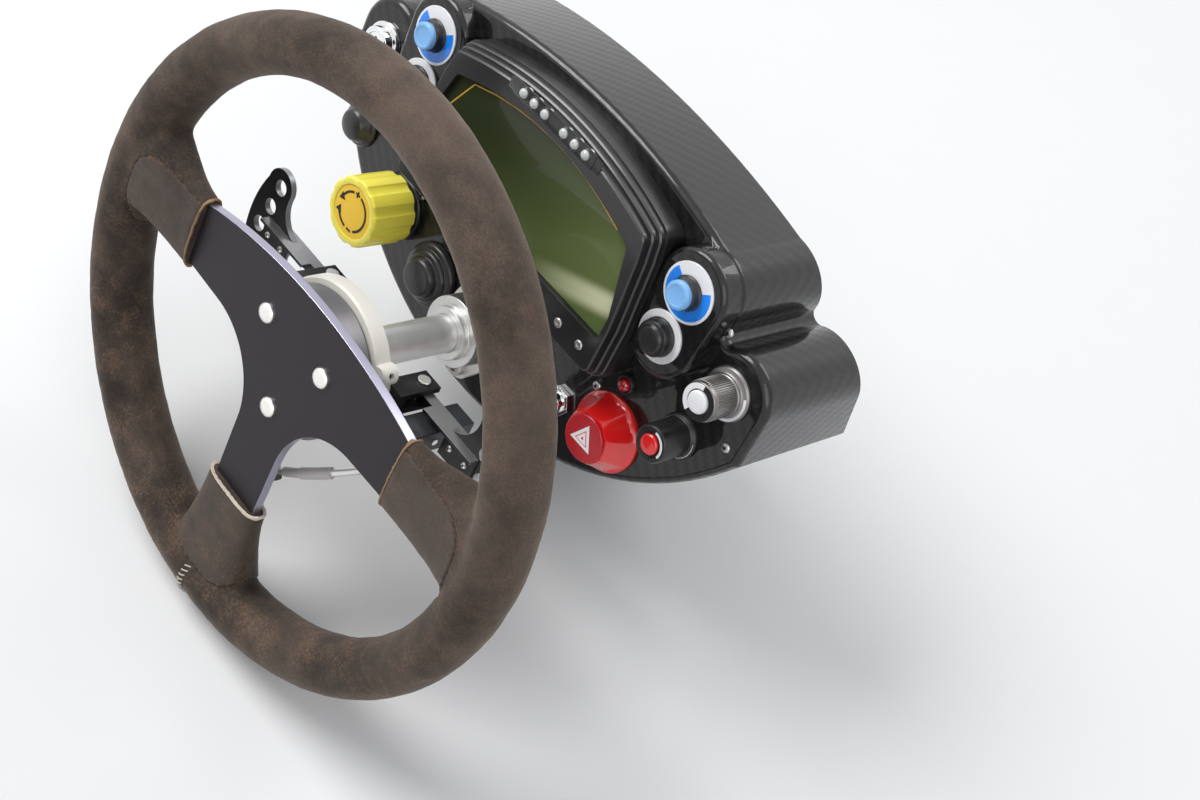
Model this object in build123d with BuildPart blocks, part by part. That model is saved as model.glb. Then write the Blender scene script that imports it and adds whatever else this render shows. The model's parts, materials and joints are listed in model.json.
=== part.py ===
from build123d import *
import os
from math import cos, radians, sin, sqrt

os.makedirs("parts", exist_ok=True)

# Steering wheel, paddles, column and instrument pod of an open sports car.
# Millimetres, +X the car's right, +Y forward, +Z up. The origin is the centre of the forward
# face of the bulkhead plate, on the column's axis. A depth is counted along the column from
# the wheel's mid-plane, towards the driver, so what lies behind the wheel has a negative depth.

# Layout
RAKE = 20  # column above the horizontal, degrees
COLUMN_REACH = 240  # wheel's mid-plane to the bulkhead plate, along the column
FACE = -118  # front of the pod's face
PAD_RISE = 10  # raised dial pads above the face
FIT = 0.05  # radial running clearance of shafts and pins
SEAT = 0.1  # radial clearance of stems and screws in their holes

# Wheel
WHEEL_D = 311
GRIP_W = 28  # radial
GRIP_T = 32  # along the column
PLATE_T = 5
PLATE_BACK = 2.1
PLATE_TOP = 39
PLATE_TOP_R = 293
SPOKE_LOW = -7
SPOKE_END_TOP = 24
SPOKE_END_LOW = -4
LOWER_SPOKE_W = 31
THROAT_R = 40
THROAT_X = 56
TONGUE = 5  # how far the spokes run into the grip
CUFF_START = 81
CUFF_W = 39
CUFF_FLARE = 54
CUFF_WALL = 4.2
CUFF_RISE = 4  # a side cuff's flare leans up by this much
CUFF_ROUND = 0.45  # corner radius of a cuff's section, as a share of its thickness
SHOULDER = 4  # the spokes' corners lie this far inside their cuffs

# Hub
BOLT_PCD = 50.8
BOLT_ANGLES = (30, 150, 270)
BOLT_R = 3
BOLT_HEAD_R = 5
SPACER_R = 35
SPACER_T = 16
BOSS_R = 38
BOSS_T = 8
LUG_R = 5  # the boss's lug, beside its first bolt
LUG_HOLE_R = 1.5
LUG_HOLE_DEEP = 4
SHAFT_R = 9.5
SHAFT_BORE_R = 7
SHAFT_TAIL = 45  # free end past the bulkhead plate
SPIGOT_R = 8.7  # turned down for the lower column's joint
SPIGOT_L = 38

# Paddles
CARRIER_T = 4
HINGE_X = 37.6
HINGE_Y = 8
HINGE_BEHIND = 14  # pin behind the carrier's back face
FORK_W = 12
FORK_GAP = 6
FORK_CHEEK = 3
PIN_R = 2
LEVER_T = 3
ROOT_T = 6
LEVER_X = 86.5
LEVER_TIP_Y = 28
LEVER_TIP_R = 9
LEVER_LOW = -18  # foot of the blade
LEVER_BELLY = 13.5  # the blade's outer edge bulges this far past its middle
LEVER_HOLE_R = 4
LEVER_HOLES = ((-1, 28), (1.3, 15.2), (4.6, 2.2))  # from the blade's middle, and up
LEVER_PLAY = 0.3  # the root bar's clearance in the fork, each side
ROOT_L = 48
ANGLE_X = 50  # the stiffening angle's inner end
ANGLE_W = 14.5
ANGLE_H = 5.4
ANGLE_T = 1.5
SWITCH_W = 14
SWITCH_H = 12
SWITCH_L = 32
SWITCH_GAP = 10  # from the fork to the switch's middle
SWITCH_PLAY = 0.5

# Column support
BEARING_R = 18
BEARING_NOSE_R = 13.5
BEARING_NOSE = 4
BEARING_T = 26  # height above the pod's face
FLANGE_T = 8
FLANGE_BOLT_Y = 26
FLANGE_BOLT_R = 3
FLANGE_LUG_R = 7
SLEEVE_R = 19
SLEEVE_WALL = 3
SLEEVE_FLANGE_R = 33
SLEEVE_FLANGE_T = 5
LOWER_BEARING_T = 10
LOWER_BEARING_UP = 24  # from the bulkhead plate, along the column
PLATE_W = 120
PLATE_H = 76
MOUNT_T = 8
MOUNT_X = 96  # bolt spacing across
MOUNT_Z = 52  # bolt spacing up
MOUNT_HOLE_R = 4.25
GUSSET_T = 5
GUSSET_L = 34
STAY_R = 6
STAY_X = 40
STAY_SPLAY = 1.25  # the stays' heads stand this much further apart than their feet
STAY_HEAD_Y = 62
STAY_FOOT_DROP = 12  # below the plate's top edge

# Pod
POD_WALL = 2.5
POD_FACE_T = 3
POD_BACK = -20  # vertical plane of the pod's open back
POD_LOW_R = 176
POD_LOW_CENTRE = 133
POD_DEPTH = 140
POD_TOP = 138
CASE_W = 162  # the display's width, which spreads the controls beside it
DIAL_X, DIAL_Y = CASE_W / 2 + 15, 104.5
LOWER_DIAL_X, LOWER_DIAL_Y = CASE_W / 2 + 13.3, 77.4
LOBE_R = 21
SIDE_X, SIDE_Y = DIAL_X + 38, 75.5
POD_W = 2 * (SIDE_X + LOBE_R)
NOTCH_R = 4.5
POD_EDGE = 4
PAD_EDGE = 3
STEM = 15  # a control's stem behind its seat
PAD_INSET = 0.8  # pad inside the outline's lobe

# Display
CASE_LOW = 35.8
CASE_TOP = 132
CASE_T = 22
CASE_EDGE = 11
CASE_STEPS = ((0.9, 3.5), (2.6, 3.5), (4.6, 4))  # ridges of the front: inset and height
CASE_CORNER_Y = 67  # the sides are straight up to here
CASE_SHOULDER_X, CASE_SHOULDER_Y = CASE_W / 2 - 4, 104
CASE_CROWN_X, CASE_CROWN_Y = CASE_W / 2 - 7, 119
CASE_FOOT_R = 8
CASE_CROWN_R = 9
SCREEN_W = CASE_W - 16
SCREEN_LOW = 58.7
SCREEN_TOP = 118
SCREEN_CORNER_Y = 72
SCREEN_CROWN_X, SCREEN_CROWN_Y = CASE_W / 2 - 17, 106
SCREEN_R = 3
SCREEN_SINK = 5
SCREEN_T = 2
LAMP_R = 2.6
LAMP_XS = (7, 15, 22.8)
LAMP_Y = 125
LAMP_DEEP = 3
BUTTON_R = 2.4
BUTTON_XS = (35, 50.5, 66)
BUTTON_Y = 49.5
CONNECTOR_W, CONNECTOR_H = 56, 20

# Controls
STEM_R = 4  # stem of a dial or push knob
DIAL_R = 14.3
WHITE_DIAL_R = 12.6
DIAL_T = 1
COLLAR_R = 8
COLLAR_H = 5
BIAS_R = 18.3
BIAS_L = 27
BIAS_BASE_H = 4
BIAS_FLUTES = 10
BIAS_FLUTE_R = 0.66 * BIAS_R
BIAS_FLUTE_DEEP = 1
BIAS_EDGE = 0.05 * BIAS_R
BIAS_DISC_R = 0.73 * BIAS_R
KEY_SLOT_W, KEY_SLOT_L, KEY_SLOT_DEEP = 1.5, 6.4, 4
BAT_L = 18
NUT_T = 4
NUT_RIM = 3  # nuts and switch bodies reach this far past their holes
BODY_L = 18

# Derived places
COLUMN = Vector(0, -cos(radians(RAKE)), sin(radians(RAKE)))
UP = Vector(0, sin(radians(RAKE)), cos(radians(RAKE)))
ACROSS = Vector(1, 0, 0)
WHEEL_CENTRE = COLUMN * COLUMN_REACH
COLUMN_AXIS = Axis(WHEEL_CENTRE, COLUMN)
PAD = FACE + PAD_RISE
PLATE_FRONT = PLATE_BACK + PLATE_T
SPACER_BACK = PLATE_BACK - SPACER_T
BOSS_BACK = SPACER_BACK - BOSS_T
CARRIER_BACK = BOSS_BACK - CARRIER_T
HINGE_DEPTH = CARRIER_BACK - HINGE_BEHIND
FACE_BACK = FACE - POD_FACE_T
GRIP_R = (WHEEL_D - GRIP_W) / 2
SPOKE_END = WHEEL_D / 2 - GRIP_W + TONGUE


def at(depth):
    """The plane across the column at a depth."""
    return Plane(origin=WHEEL_CENTRE + COLUMN * depth, x_dir=ACROSS, z_dir=COLUMN)


def place(x, y, depth):
    """A point x to the right and y up from the column's axis, at a depth."""
    return WHEEL_CENTRE + ACROSS * x + UP * y + COLUMN * depth


def turn(x, y, seat, stem_r, stem, steps, mode=Mode.ADD):
    """Turn a control on a seat: a stem behind it, then steps of (radius, end radius, height)."""
    outline = [(0, -stem), (stem_r, -stem), (stem_r, 0)] if stem else [(0, 0)]
    height = 0
    for radius, end_radius, rise in steps:
        if outline[-1] != (radius, height):
            outline.append((radius, height))
        height += rise
        outline.append((end_radius, height))
    outline.append((0, height))
    centre = place(x, y, seat)
    with BuildSketch(Plane(origin=centre, x_dir=ACROSS, z_dir=-UP)) as half:
        with BuildLine():
            Polyline(*outline, close=True)
        make_face()
    revolve(half.sketch, axis=Axis(centre, COLUMN), mode=mode)


# Spoke plate: three flat spokes cut from one sheet, with the throats between them as arcs
def plate_top(x):
    return PLATE_TOP - PLATE_TOP_R + sqrt(PLATE_TOP_R**2 - x**2)


throat_y = SPOKE_LOW - THROAT_R
lower_x = LOWER_SPOKE_W / 2
diagonal = THROAT_R * sqrt(0.5)
corner_x = CUFF_START + SHOULDER

with BuildPart() as spoke_plate:
    with BuildSketch(at(PLATE_BACK)):
        with BuildLine():
            ThreePointArc((0, PLATE_TOP), (corner_x / 2, plate_top(corner_x / 2)),
                          (corner_x, plate_top(corner_x)))
            Polyline((corner_x, plate_top(corner_x)), (SPOKE_END, SPOKE_END_TOP),
                     (SPOKE_END, SPOKE_END_LOW), (THROAT_X, SPOKE_LOW))
            ThreePointArc((THROAT_X, SPOKE_LOW), (THROAT_X - diagonal, throat_y + diagonal),
                          (THROAT_X - THROAT_R, throat_y))
            Polyline((THROAT_X - THROAT_R, throat_y), (lower_x, -corner_x),
                     (lower_x, -SPOKE_END), (0, -SPOKE_END))
            mirror(about=Plane.YZ)
        make_face()
        with PolarLocations(BOLT_PCD / 2, len(BOLT_ANGLES), start_angle=BOLT_ANGLES[0]):
            Circle(BOLT_R + SEAT, mode=Mode.SUBTRACT)
    extrude(amount=PLATE_T)

# Rim: an oval grip with a cuff at each spoke, slotted for the spokes
side_middle = (plate_top(CUFF_START) + SPOKE_LOW + 1) / 2
plate_middle = PLATE_BACK + PLATE_T / 2
cuff_t = PLATE_T + 2 * CUFF_WALL
grip_edge = GRIP_R - GRIP_W / 2
# direction of the spoke, across it, the middle of the spoke there, and the flare's rise
CUFFS = (
    (ACROSS, UP, side_middle, CUFF_RISE),
    (-ACROSS, UP, side_middle, CUFF_RISE),
    (-UP, ACROSS, 0, 0),
)

with BuildPart() as rim:
    with BuildSketch(Plane(origin=WHEEL_CENTRE, x_dir=UP, z_dir=ACROSS)):
        with Locations((GRIP_R, 0)):
            Ellipse(GRIP_W / 2, GRIP_T / 2)
    revolve(axis=COLUMN_AXIS)
    for direction, across, middle, rise in CUFFS:
        # distance from the axis, side shift, depth, width, thickness
        sections = (
            (CUFF_START, middle, plate_middle, CUFF_W, cuff_t),
            (grip_edge - 2, middle + rise / 2, plate_middle / 2, CUFF_FLARE * 0.89, GRIP_T * 0.7),
            (GRIP_R, middle + rise, 0, CUFF_FLARE, GRIP_T * 0.8),
        )
        for distance, shift, depth, width, thick in sections:
            origin = WHEEL_CENTRE + direction * distance + across * shift + COLUMN * depth
            with BuildSketch(Plane(origin=origin, x_dir=across, z_dir=direction)):
                RectangleRounded(width, thick, thick * CUFF_ROUND)
        loft()
    add(spoke_plate.part, mode=Mode.SUBTRACT)

# Hub: bolts, spacer and boss
with BuildPart() as wheel_bolts:
    for angle in BOLT_ANGLES:
        turn(BOLT_PCD / 2 * cos(radians(angle)), BOLT_PCD / 2 * sin(radians(angle)), PLATE_FRONT,
             BOLT_R, PLATE_T + SPACER_T + BOSS_T - 1,
             ((BOLT_HEAD_R, BOLT_HEAD_R, 1), (BOLT_HEAD_R, BOLT_HEAD_R * 0.8, 1.4),
              (BOLT_HEAD_R * 0.8, BOLT_HEAD_R * 0.4, 0.8)))

with BuildPart() as hub_spacer:
    with BuildSketch(at(SPACER_BACK)):
        Circle(SPACER_R)
        Circle(SHAFT_R + 4, mode=Mode.SUBTRACT)
        with PolarLocations(BOLT_PCD / 2, len(BOLT_ANGLES), start_angle=BOLT_ANGLES[0]):
            Circle(BOLT_R + SEAT, mode=Mode.SUBTRACT)
    extrude(amount=SPACER_T)
    chamfer(faces().sort_by(COLUMN_AXIS)[0].outer_wire().edges(), 1.5)

with BuildPart() as hub_boss:
    with BuildSketch(at(BOSS_BACK)):
        Circle(BOSS_R)
        with PolarLocations(BOSS_R, 1, start_angle=BOLT_ANGLES[0]):
            Circle(LUG_R)
        Circle(SHAFT_R + FIT, mode=Mode.SUBTRACT)
        with PolarLocations(BOLT_PCD / 2, len(BOLT_ANGLES), start_angle=BOLT_ANGLES[0]):
            Circle(BOLT_R + SEAT, mode=Mode.SUBTRACT)
    extrude(amount=BOSS_T)
    chamfer(faces().sort_by(COLUMN_AXIS)[-1].outer_wire().edges(), 1)
    lug = ACROSS.rotate(COLUMN_AXIS, BOLT_ANGLES[0])
    with BuildSketch(Plane(origin=place(0, 0, BOSS_BACK + BOSS_T / 2) + lug * (BOSS_R + LUG_R),
                           x_dir=COLUMN, z_dir=lug)):
        Circle(LUG_HOLE_R)
    extrude(amount=-LUG_HOLE_DEEP, mode=Mode.SUBTRACT)

with BuildPart() as column_shaft:
    with BuildSketch(at(-COLUMN_REACH - SHAFT_TAIL)):
        Circle(SPIGOT_R)
    extrude(amount=SPIGOT_L)
    with BuildSketch(at(-COLUMN_REACH - SHAFT_TAIL + SPIGOT_L)):
        Circle(SHAFT_R)
    extrude(amount=COLUMN_REACH + SHAFT_TAIL - SPIGOT_L + SPACER_BACK)
    with BuildSketch(at(-COLUMN_REACH - SHAFT_TAIL)):
        Circle(SHAFT_BORE_R)
    extrude(amount=COLUMN_REACH + SHAFT_TAIL + SPACER_BACK, mode=Mode.SUBTRACT)

# Paddle carrier: a bar clamped behind the boss, with a fork for each paddle
fork_h = FORK_GAP + 2 * FORK_CHEEK
fork_end = HINGE_DEPTH - FORK_W / 2

with BuildPart() as paddle_carrier:
    with BuildSketch(at(CARRIER_BACK)):
        with BuildLine():
            Polyline((HINGE_X + FORK_W / 2, HINGE_Y + fork_h / 2), (0, SHAFT_R + 6),
                     (-HINGE_X - FORK_W / 2, HINGE_Y + fork_h / 2),
                     (-HINGE_X - FORK_W / 2, HINGE_Y - fork_h / 2), (0, -SHAFT_R - 6),
                     (HINGE_X + FORK_W / 2, HINGE_Y - fork_h / 2), close=True)
        make_face()
        Circle(SHAFT_R + 8)
        Circle(SHAFT_R + FIT, mode=Mode.SUBTRACT)
    extrude(amount=CARRIER_T)
    with BuildSketch(at(CARRIER_BACK)):
        with Locations((-HINGE_X, HINGE_Y), (HINGE_X, HINGE_Y)):
            Rectangle(FORK_W, fork_h)
    extrude(amount=fork_end - CARRIER_BACK)
    with BuildSketch(at(CARRIER_BACK)):
        with Locations((-HINGE_X, HINGE_Y), (HINGE_X, HINGE_Y)):
            Rectangle(FORK_W, FORK_GAP)
    extrude(amount=fork_end - CARRIER_BACK, mode=Mode.SUBTRACT)
    for side in (-1, 1):
        with BuildSketch(Plane(origin=place(side * HINGE_X, HINGE_Y, HINGE_DEPTH), x_dir=ACROSS,
                               z_dir=UP)):
            Circle(PIN_R + FIT)
        extrude(amount=fork_h, both=True, mode=Mode.SUBTRACT)

with BuildPart() as paddle_pins:
    for side in (-1, 1):
        with BuildSketch(Plane(origin=place(side * HINGE_X, HINGE_Y - fork_h / 2, HINGE_DEPTH),
                               x_dir=ACROSS, z_dir=UP)):
            Circle(PIN_R)
        extrude(amount=fork_h)
        with BuildSketch(Plane(origin=place(side * HINGE_X, HINGE_Y + fork_h / 2, HINGE_DEPTH),
                               x_dir=ACROSS, z_dir=UP)):
            Circle(PIN_R + 1.2)
        extrude(amount=1.2)


# Paddles: a pierced blade on a root bar that turns in the fork
switch_x = HINGE_X + FORK_W / 2 + SWITCH_GAP


def paddle(side):
    """One paddle, 1 for the right and -1 for the left."""
    blade_foot = switch_x + SWITCH_W / 2 + 4
    root_half = FORK_GAP / 2 - LEVER_PLAY
    with BuildPart() as lever:
        with BuildSketch(at(HINGE_DEPTH + ROOT_T / 2 - LEVER_T)):
            with BuildLine():
                TangentArc((side * (LEVER_X - LEVER_TIP_R), LEVER_TIP_Y),
                           (side * (LEVER_X + LEVER_TIP_R), LEVER_TIP_Y), tangent=(0, 1))
                ThreePointArc((side * (LEVER_X + LEVER_TIP_R), LEVER_TIP_Y),
                              (side * (LEVER_X + LEVER_BELLY), FORK_GAP),
                              (side * (LEVER_X + LEVER_TIP_R), LEVER_LOW))
                Polyline((side * (LEVER_X + LEVER_TIP_R), LEVER_LOW),
                         (side * (LEVER_X - LEVER_TIP_R), LEVER_LOW),
                         (side * blade_foot, HINGE_Y - root_half),
                         (side * blade_foot, HINGE_Y + root_half))
                ThreePointArc((side * blade_foot, HINGE_Y + root_half),
                              (side * (LEVER_X - LEVER_TIP_R - 3), LEVER_TIP_Y - 12),
                              (side * (LEVER_X - LEVER_TIP_R), LEVER_TIP_Y))
            make_face()
            with Locations(*[(side * (LEVER_X + lean), y) for lean, y in LEVER_HOLES]):
                Circle(LEVER_HOLE_R, mode=Mode.SUBTRACT)
        extrude(amount=LEVER_T)
        with BuildSketch(Plane(origin=place(0, HINGE_Y, HINGE_DEPTH), x_dir=ACROSS, z_dir=UP)):
            with Locations((side * HINGE_X, 0)):
                Circle(ROOT_T / 2 + 1)
            with Locations((side * (HINGE_X + ROOT_L / 2), 0)):
                Rectangle(ROOT_L, ROOT_T)
            with Locations((side * HINGE_X, 0)):
                Circle(PIN_R + FIT, mode=Mode.SUBTRACT)
        extrude(amount=root_half, both=True)
        # angle that stiffens the root: one leg on the blade, one leg standing up from it
        angle_end = HINGE_X + ROOT_L
        with BuildSketch(at(HINGE_DEPTH + ROOT_T / 2)):
            with Locations((side * (blade_foot + angle_end) / 2, HINGE_Y + root_half)):
                Rectangle(angle_end - blade_foot, ANGLE_W, align=(Align.CENTER, Align.MAX))
        extrude(amount=ANGLE_T)
        with BuildSketch(at(HINGE_DEPTH + ROOT_T / 2)):
            with Locations((side * (ANGLE_X + angle_end) / 2, HINGE_Y + root_half)):
                Rectangle(angle_end - ANGLE_X, ANGLE_T, align=(Align.CENTER, Align.MAX))
        extrude(amount=ANGLE_H)
    return lever


paddle_left = paddle(-1)
paddle_right = paddle(1)

switch_top = HINGE_Y - FORK_GAP / 2 - SWITCH_PLAY
with BuildPart() as paddle_switch:
    with BuildSketch(at(CARRIER_BACK)):
        with Locations((switch_x, switch_top - SWITCH_H / 2)):
            Rectangle(SWITCH_W, SWITCH_H)
    extrude(amount=-SWITCH_L)
    with BuildSketch(at(CARRIER_BACK)):
        with Locations(((switch_x + HINGE_X) / 2, switch_top - SWITCH_H / 2)):
            Rectangle(switch_x - HINGE_X + SWITCH_W, SWITCH_H)
    extrude(amount=CARRIER_T)
    add(paddle_carrier.part, mode=Mode.SUBTRACT)

# Bearing housing on the pod's face: a two-bolt rhombic flange with a round nose
with BuildPart() as column_bearing:
    with BuildSketch(at(FACE)):
        Circle(BEARING_R + 4)
        with Locations((0, -FLANGE_BOLT_Y), (0, FLANGE_BOLT_Y)):
            Circle(FLANGE_LUG_R)
        make_hull()
    extrude(amount=FLANGE_T)
    turn(0, 0, FACE, SLEEVE_R - SLEEVE_WALL - SEAT, POD_FACE_T + 6,
         ((BEARING_R, BEARING_R, BEARING_T), (BEARING_NOSE_R, BEARING_NOSE_R, BEARING_NOSE)))
    with BuildSketch(at(FACE)):
        Circle(SHAFT_R + FIT)
        with Locations((0, -FLANGE_BOLT_Y), (0, FLANGE_BOLT_Y)):
            Circle(FLANGE_BOLT_R + SEAT)
    extrude(amount=60, both=True, mode=Mode.SUBTRACT)

with BuildPart() as bearing_bolts:
    for side in (-1, 1):
        turn(0, side * FLANGE_BOLT_Y, FACE + FLANGE_T, FLANGE_BOLT_R,
             FLANGE_T + POD_FACE_T + SLEEVE_FLANGE_T + 4, ((5, 5, 3.4), (5, 3.6, 1)))

# Column sleeve: a flanged tube from the pod's face to the bulkhead plate
sleeve_end = Plane(origin=(0, -MOUNT_T, 0), z_dir=(0, -1, 0))
with BuildPart() as column_sleeve:
    with BuildSketch(at(-COLUMN_REACH - 20)):
        Circle(SLEEVE_R)
    extrude(amount=COLUMN_REACH + 20 + FACE_BACK)
    with BuildSketch(at(FACE_BACK - SLEEVE_FLANGE_T)):
        Circle(SLEEVE_FLANGE_R)
        with Locations((0, -FLANGE_BOLT_Y), (0, FLANGE_BOLT_Y)):
            Circle(FLANGE_BOLT_R + SEAT, mode=Mode.SUBTRACT)
    extrude(amount=SLEEVE_FLANGE_T)
    with BuildSketch(at(-COLUMN_REACH - 20)):
        Circle(SLEEVE_R - SLEEVE_WALL)
    extrude(amount=COLUMN_REACH + 20 + FACE_BACK, mode=Mode.SUBTRACT)
    split(bisect_by=sleeve_end, keep=Keep.TOP)

with BuildPart() as lower_bearing:
    with BuildSketch(at(-COLUMN_REACH + LOWER_BEARING_UP)):
        Circle(SLEEVE_R - SLEEVE_WALL - SEAT)
        Circle(SHAFT_R + FIT, mode=Mode.SUBTRACT)
    extrude(amount=LOWER_BEARING_T)

# Bulkhead plate with gussets up to the sleeve
with BuildPart() as bulkhead_plate:
    with BuildSketch(Plane.YZ):
        with BuildLine():
            Polyline((-MOUNT_T, PLATE_H / 2 - 2), (-MOUNT_T - 34, 18 * cos(radians(RAKE)) + 14),
                     (-MOUNT_T - 34, 0), (-MOUNT_T, 0), close=True)
        make_face()
        with BuildLine():
            Polyline((-MOUNT_T, -PLATE_H / 2 + 2), (-MOUNT_T - 26, -8), (-MOUNT_T - 26, 0),
                     (-MOUNT_T, 0), close=True)
        make_face()
    extrude(amount=2.5, both=True)
    with BuildSketch(at(-COLUMN_REACH - 20)):
        Circle(SLEEVE_R)
    extrude(amount=110, mode=Mode.SUBTRACT)
    with BuildSketch(Plane(origin=(0, 0, 0), x_dir=ACROSS, z_dir=(0, -1, 0))):
        RectangleRounded(PLATE_W, PLATE_H, 8)
        with GridLocations(MOUNT_X, MOUNT_Z, 2, 2):
            Circle(MOUNT_HOLE_R, mode=Mode.SUBTRACT)
    extrude(amount=MOUNT_T)
    with BuildSketch(at(-COLUMN_REACH - 20)):
        Circle(SHAFT_R + 3)
    extrude(amount=60, mode=Mode.SUBTRACT)


# Pod: outline, shell and pads
def pod_outline():
    """Outline of the pod's face, on the plane across the column."""
    with BuildSketch() as outline:
        with Locations((0, POD_LOW_CENTRE)):
            Circle(POD_LOW_R)
        with Locations((0, SIDE_Y)):
            Rectangle(POD_W, 2 * POD_LOW_R, align=(Align.CENTER, Align.MAX),
                      mode=Mode.INTERSECT)
        with Locations((SIDE_X, SIDE_Y), (-SIDE_X, SIDE_Y), (DIAL_X, DIAL_Y), (-DIAL_X, DIAL_Y)):
            Circle(LOBE_R)
        for side in (-1, 1):
            with BuildLine():
                Polyline((0, LOWER_DIAL_Y - 20), (side * SIDE_X, LOWER_DIAL_Y - 20),
                         (side * SIDE_X, SIDE_Y), (side * DIAL_X, DIAL_Y), (0, DIAL_Y),
                         close=True)
            make_face()
        shoulder = DIAL_Y + LOBE_R
        with BuildLine():
            ThreePointArc((-DIAL_X, shoulder), (0, POD_TOP), (DIAL_X, shoulder))
            Polyline((DIAL_X, shoulder), (DIAL_X, DIAL_Y), (-DIAL_X, DIAL_Y),
                     (-DIAL_X, shoulder))
        make_face()
        offset(amount=NOTCH_R, kind=Kind.ARC)
        offset(amount=-NOTCH_R, kind=Kind.ARC)
    return outline.sketch


def pad_outline(side):
    """Outline of a raised pad round its two dials."""
    with BuildSketch() as outline:
        with Locations((side * DIAL_X, DIAL_Y)):
            Circle(LOBE_R - PAD_INSET)
        with Locations((side * LOWER_DIAL_X, LOWER_DIAL_Y)):
            Circle(LOBE_R - PAD_INSET)
        make_hull()
    return outline.sketch


def case_outline():
    """Outline of the display's case: straight sides, leaning shoulders and an arched top."""
    with BuildSketch() as outline:
        with BuildLine():
            Polyline((0, CASE_LOW), (CASE_W / 2, CASE_LOW), (CASE_W / 2, CASE_CORNER_Y),
                     (CASE_SHOULDER_X, CASE_SHOULDER_Y), (CASE_CROWN_X, CASE_CROWN_Y))
            mirror(about=Plane.YZ)
            ThreePointArc((CASE_CROWN_X, CASE_CROWN_Y), (0, CASE_TOP),
                          (-CASE_CROWN_X, CASE_CROWN_Y))
        make_face()
        fillet(outline.vertices().group_by(Axis.Y)[0], CASE_FOOT_R)
        fillet(outline.vertices().sort_by(Axis.Y)[-2:], CASE_CROWN_R)
    return outline.sketch


face_outline = pod_outline()
case_face = case_outline()
# control, x, y, seat depth, hole radius
CONTROLS = (
    ("dial", DIAL_X, DIAL_Y, PAD, 4),
    ("dial", -DIAL_X, DIAL_Y, PAD, 4),
    ("knob", LOWER_DIAL_X, LOWER_DIAL_Y, PAD, 4),
    ("knob", -LOWER_DIAL_X, LOWER_DIAL_Y, PAD, 4),
    ("hazard", 89, 10, FACE, 6),
    ("bias", -84, 8, FACE, 6),
    ("lamp", CASE_W / 2 + 5, 38, FACE, 2.5),
    ("rotary", 123, 40, FACE, 5),
    ("start", SIDE_X - 1, SIDE_Y, FACE, 5),
    ("lock", -SIDE_X, SIDE_Y - 2, FACE, 6),
    ("small", -128, 27, FACE, 3.5),
    ("large", -45, -6, FACE, 6),
    ("toggle", 58, 1.5, FACE, 4),
)
SEAT_OF = {name: (x, y, seat, hole) for name, x, y, seat, hole in CONTROLS}

with BuildPart() as dial_pads:
    for side in (-1, 1):
        with BuildSketch(at(FACE_BACK + 0.5)):
            add(pad_outline(side))
        extrude(amount=PAD - FACE_BACK - 0.5)
    fillet(faces().group_by(COLUMN_AXIS)[-1].edges(), PAD_EDGE)
    with BuildSketch(at(FACE)):
        add(case_face)
        offset(amount=SEAT, kind=Kind.ARC, mode=Mode.REPLACE)
    extrude(amount=PAD_RISE + 1, mode=Mode.SUBTRACT)

pod_back = Plane(origin=(0, POD_BACK, 0), z_dir=(0, -1, 0))
with BuildPart() as pod_shell:
    with BuildSketch(at(FACE)):
        add(face_outline)
    extrude(amount=-POD_DEPTH)
    fillet(faces().sort_by(COLUMN_AXIS)[-1].edges(), POD_EDGE)
    with BuildSketch(at(FACE_BACK)):
        add(face_outline)
        offset(amount=-POD_WALL, kind=Kind.ARC, mode=Mode.REPLACE)
    extrude(amount=-POD_DEPTH, mode=Mode.SUBTRACT)
    split(bisect_by=pod_back, keep=Keep.TOP)
    add(dial_pads.part)
    for side in (-1, 1):
        with BuildSketch(at(FACE_BACK)):
            add(pad_outline(side))
            offset(amount=-PAD_EDGE, kind=Kind.ARC, mode=Mode.REPLACE)
            add(case_face, mode=Mode.SUBTRACT)
        extrude(amount=PAD_RISE, mode=Mode.SUBTRACT)
    for name, x, y, seat, hole in CONTROLS:
        with BuildSketch(at(seat + 1)):
            with Locations((x, y)):
                Circle(hole + SEAT)
        extrude(amount=-PAD_RISE - POD_FACE_T, mode=Mode.SUBTRACT)
    with BuildSketch(at(FACE + 1)):
        Circle(SLEEVE_R - SLEEVE_WALL)
        with Locations((0, -FLANGE_BOLT_Y), (0, FLANGE_BOLT_Y)):
            Circle(FLANGE_BOLT_R + SEAT)
        with Locations((0, (SCREEN_LOW + SCREEN_TOP) / 2)):
            RectangleRounded(CONNECTOR_W + 4, CONNECTOR_H + 4, 5)
    extrude(amount=-POD_FACE_T - 2, mode=Mode.SUBTRACT)

# Pod stays: tubes from the bulkhead plate to the back of the pod's face
with BuildPart() as pod_stays:
    for side in (-1, 1):
        foot = Vector(side * STAY_X, -MOUNT_T, PLATE_H / 2 - STAY_FOOT_DROP)
        head = place(side * STAY_X * STAY_SPLAY, STAY_HEAD_Y, FACE_BACK)
        run = (head - foot).normalized()
        with BuildSketch(Plane(origin=foot - run * 2 * STAY_R, z_dir=run)):
            Circle(STAY_R)
        extrude(amount=(head - foot).length + 4 * STAY_R)
    split(bisect_by=sleeve_end, keep=Keep.TOP)
    split(bisect_by=at(FACE_BACK), keep=Keep.BOTTOM)


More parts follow.
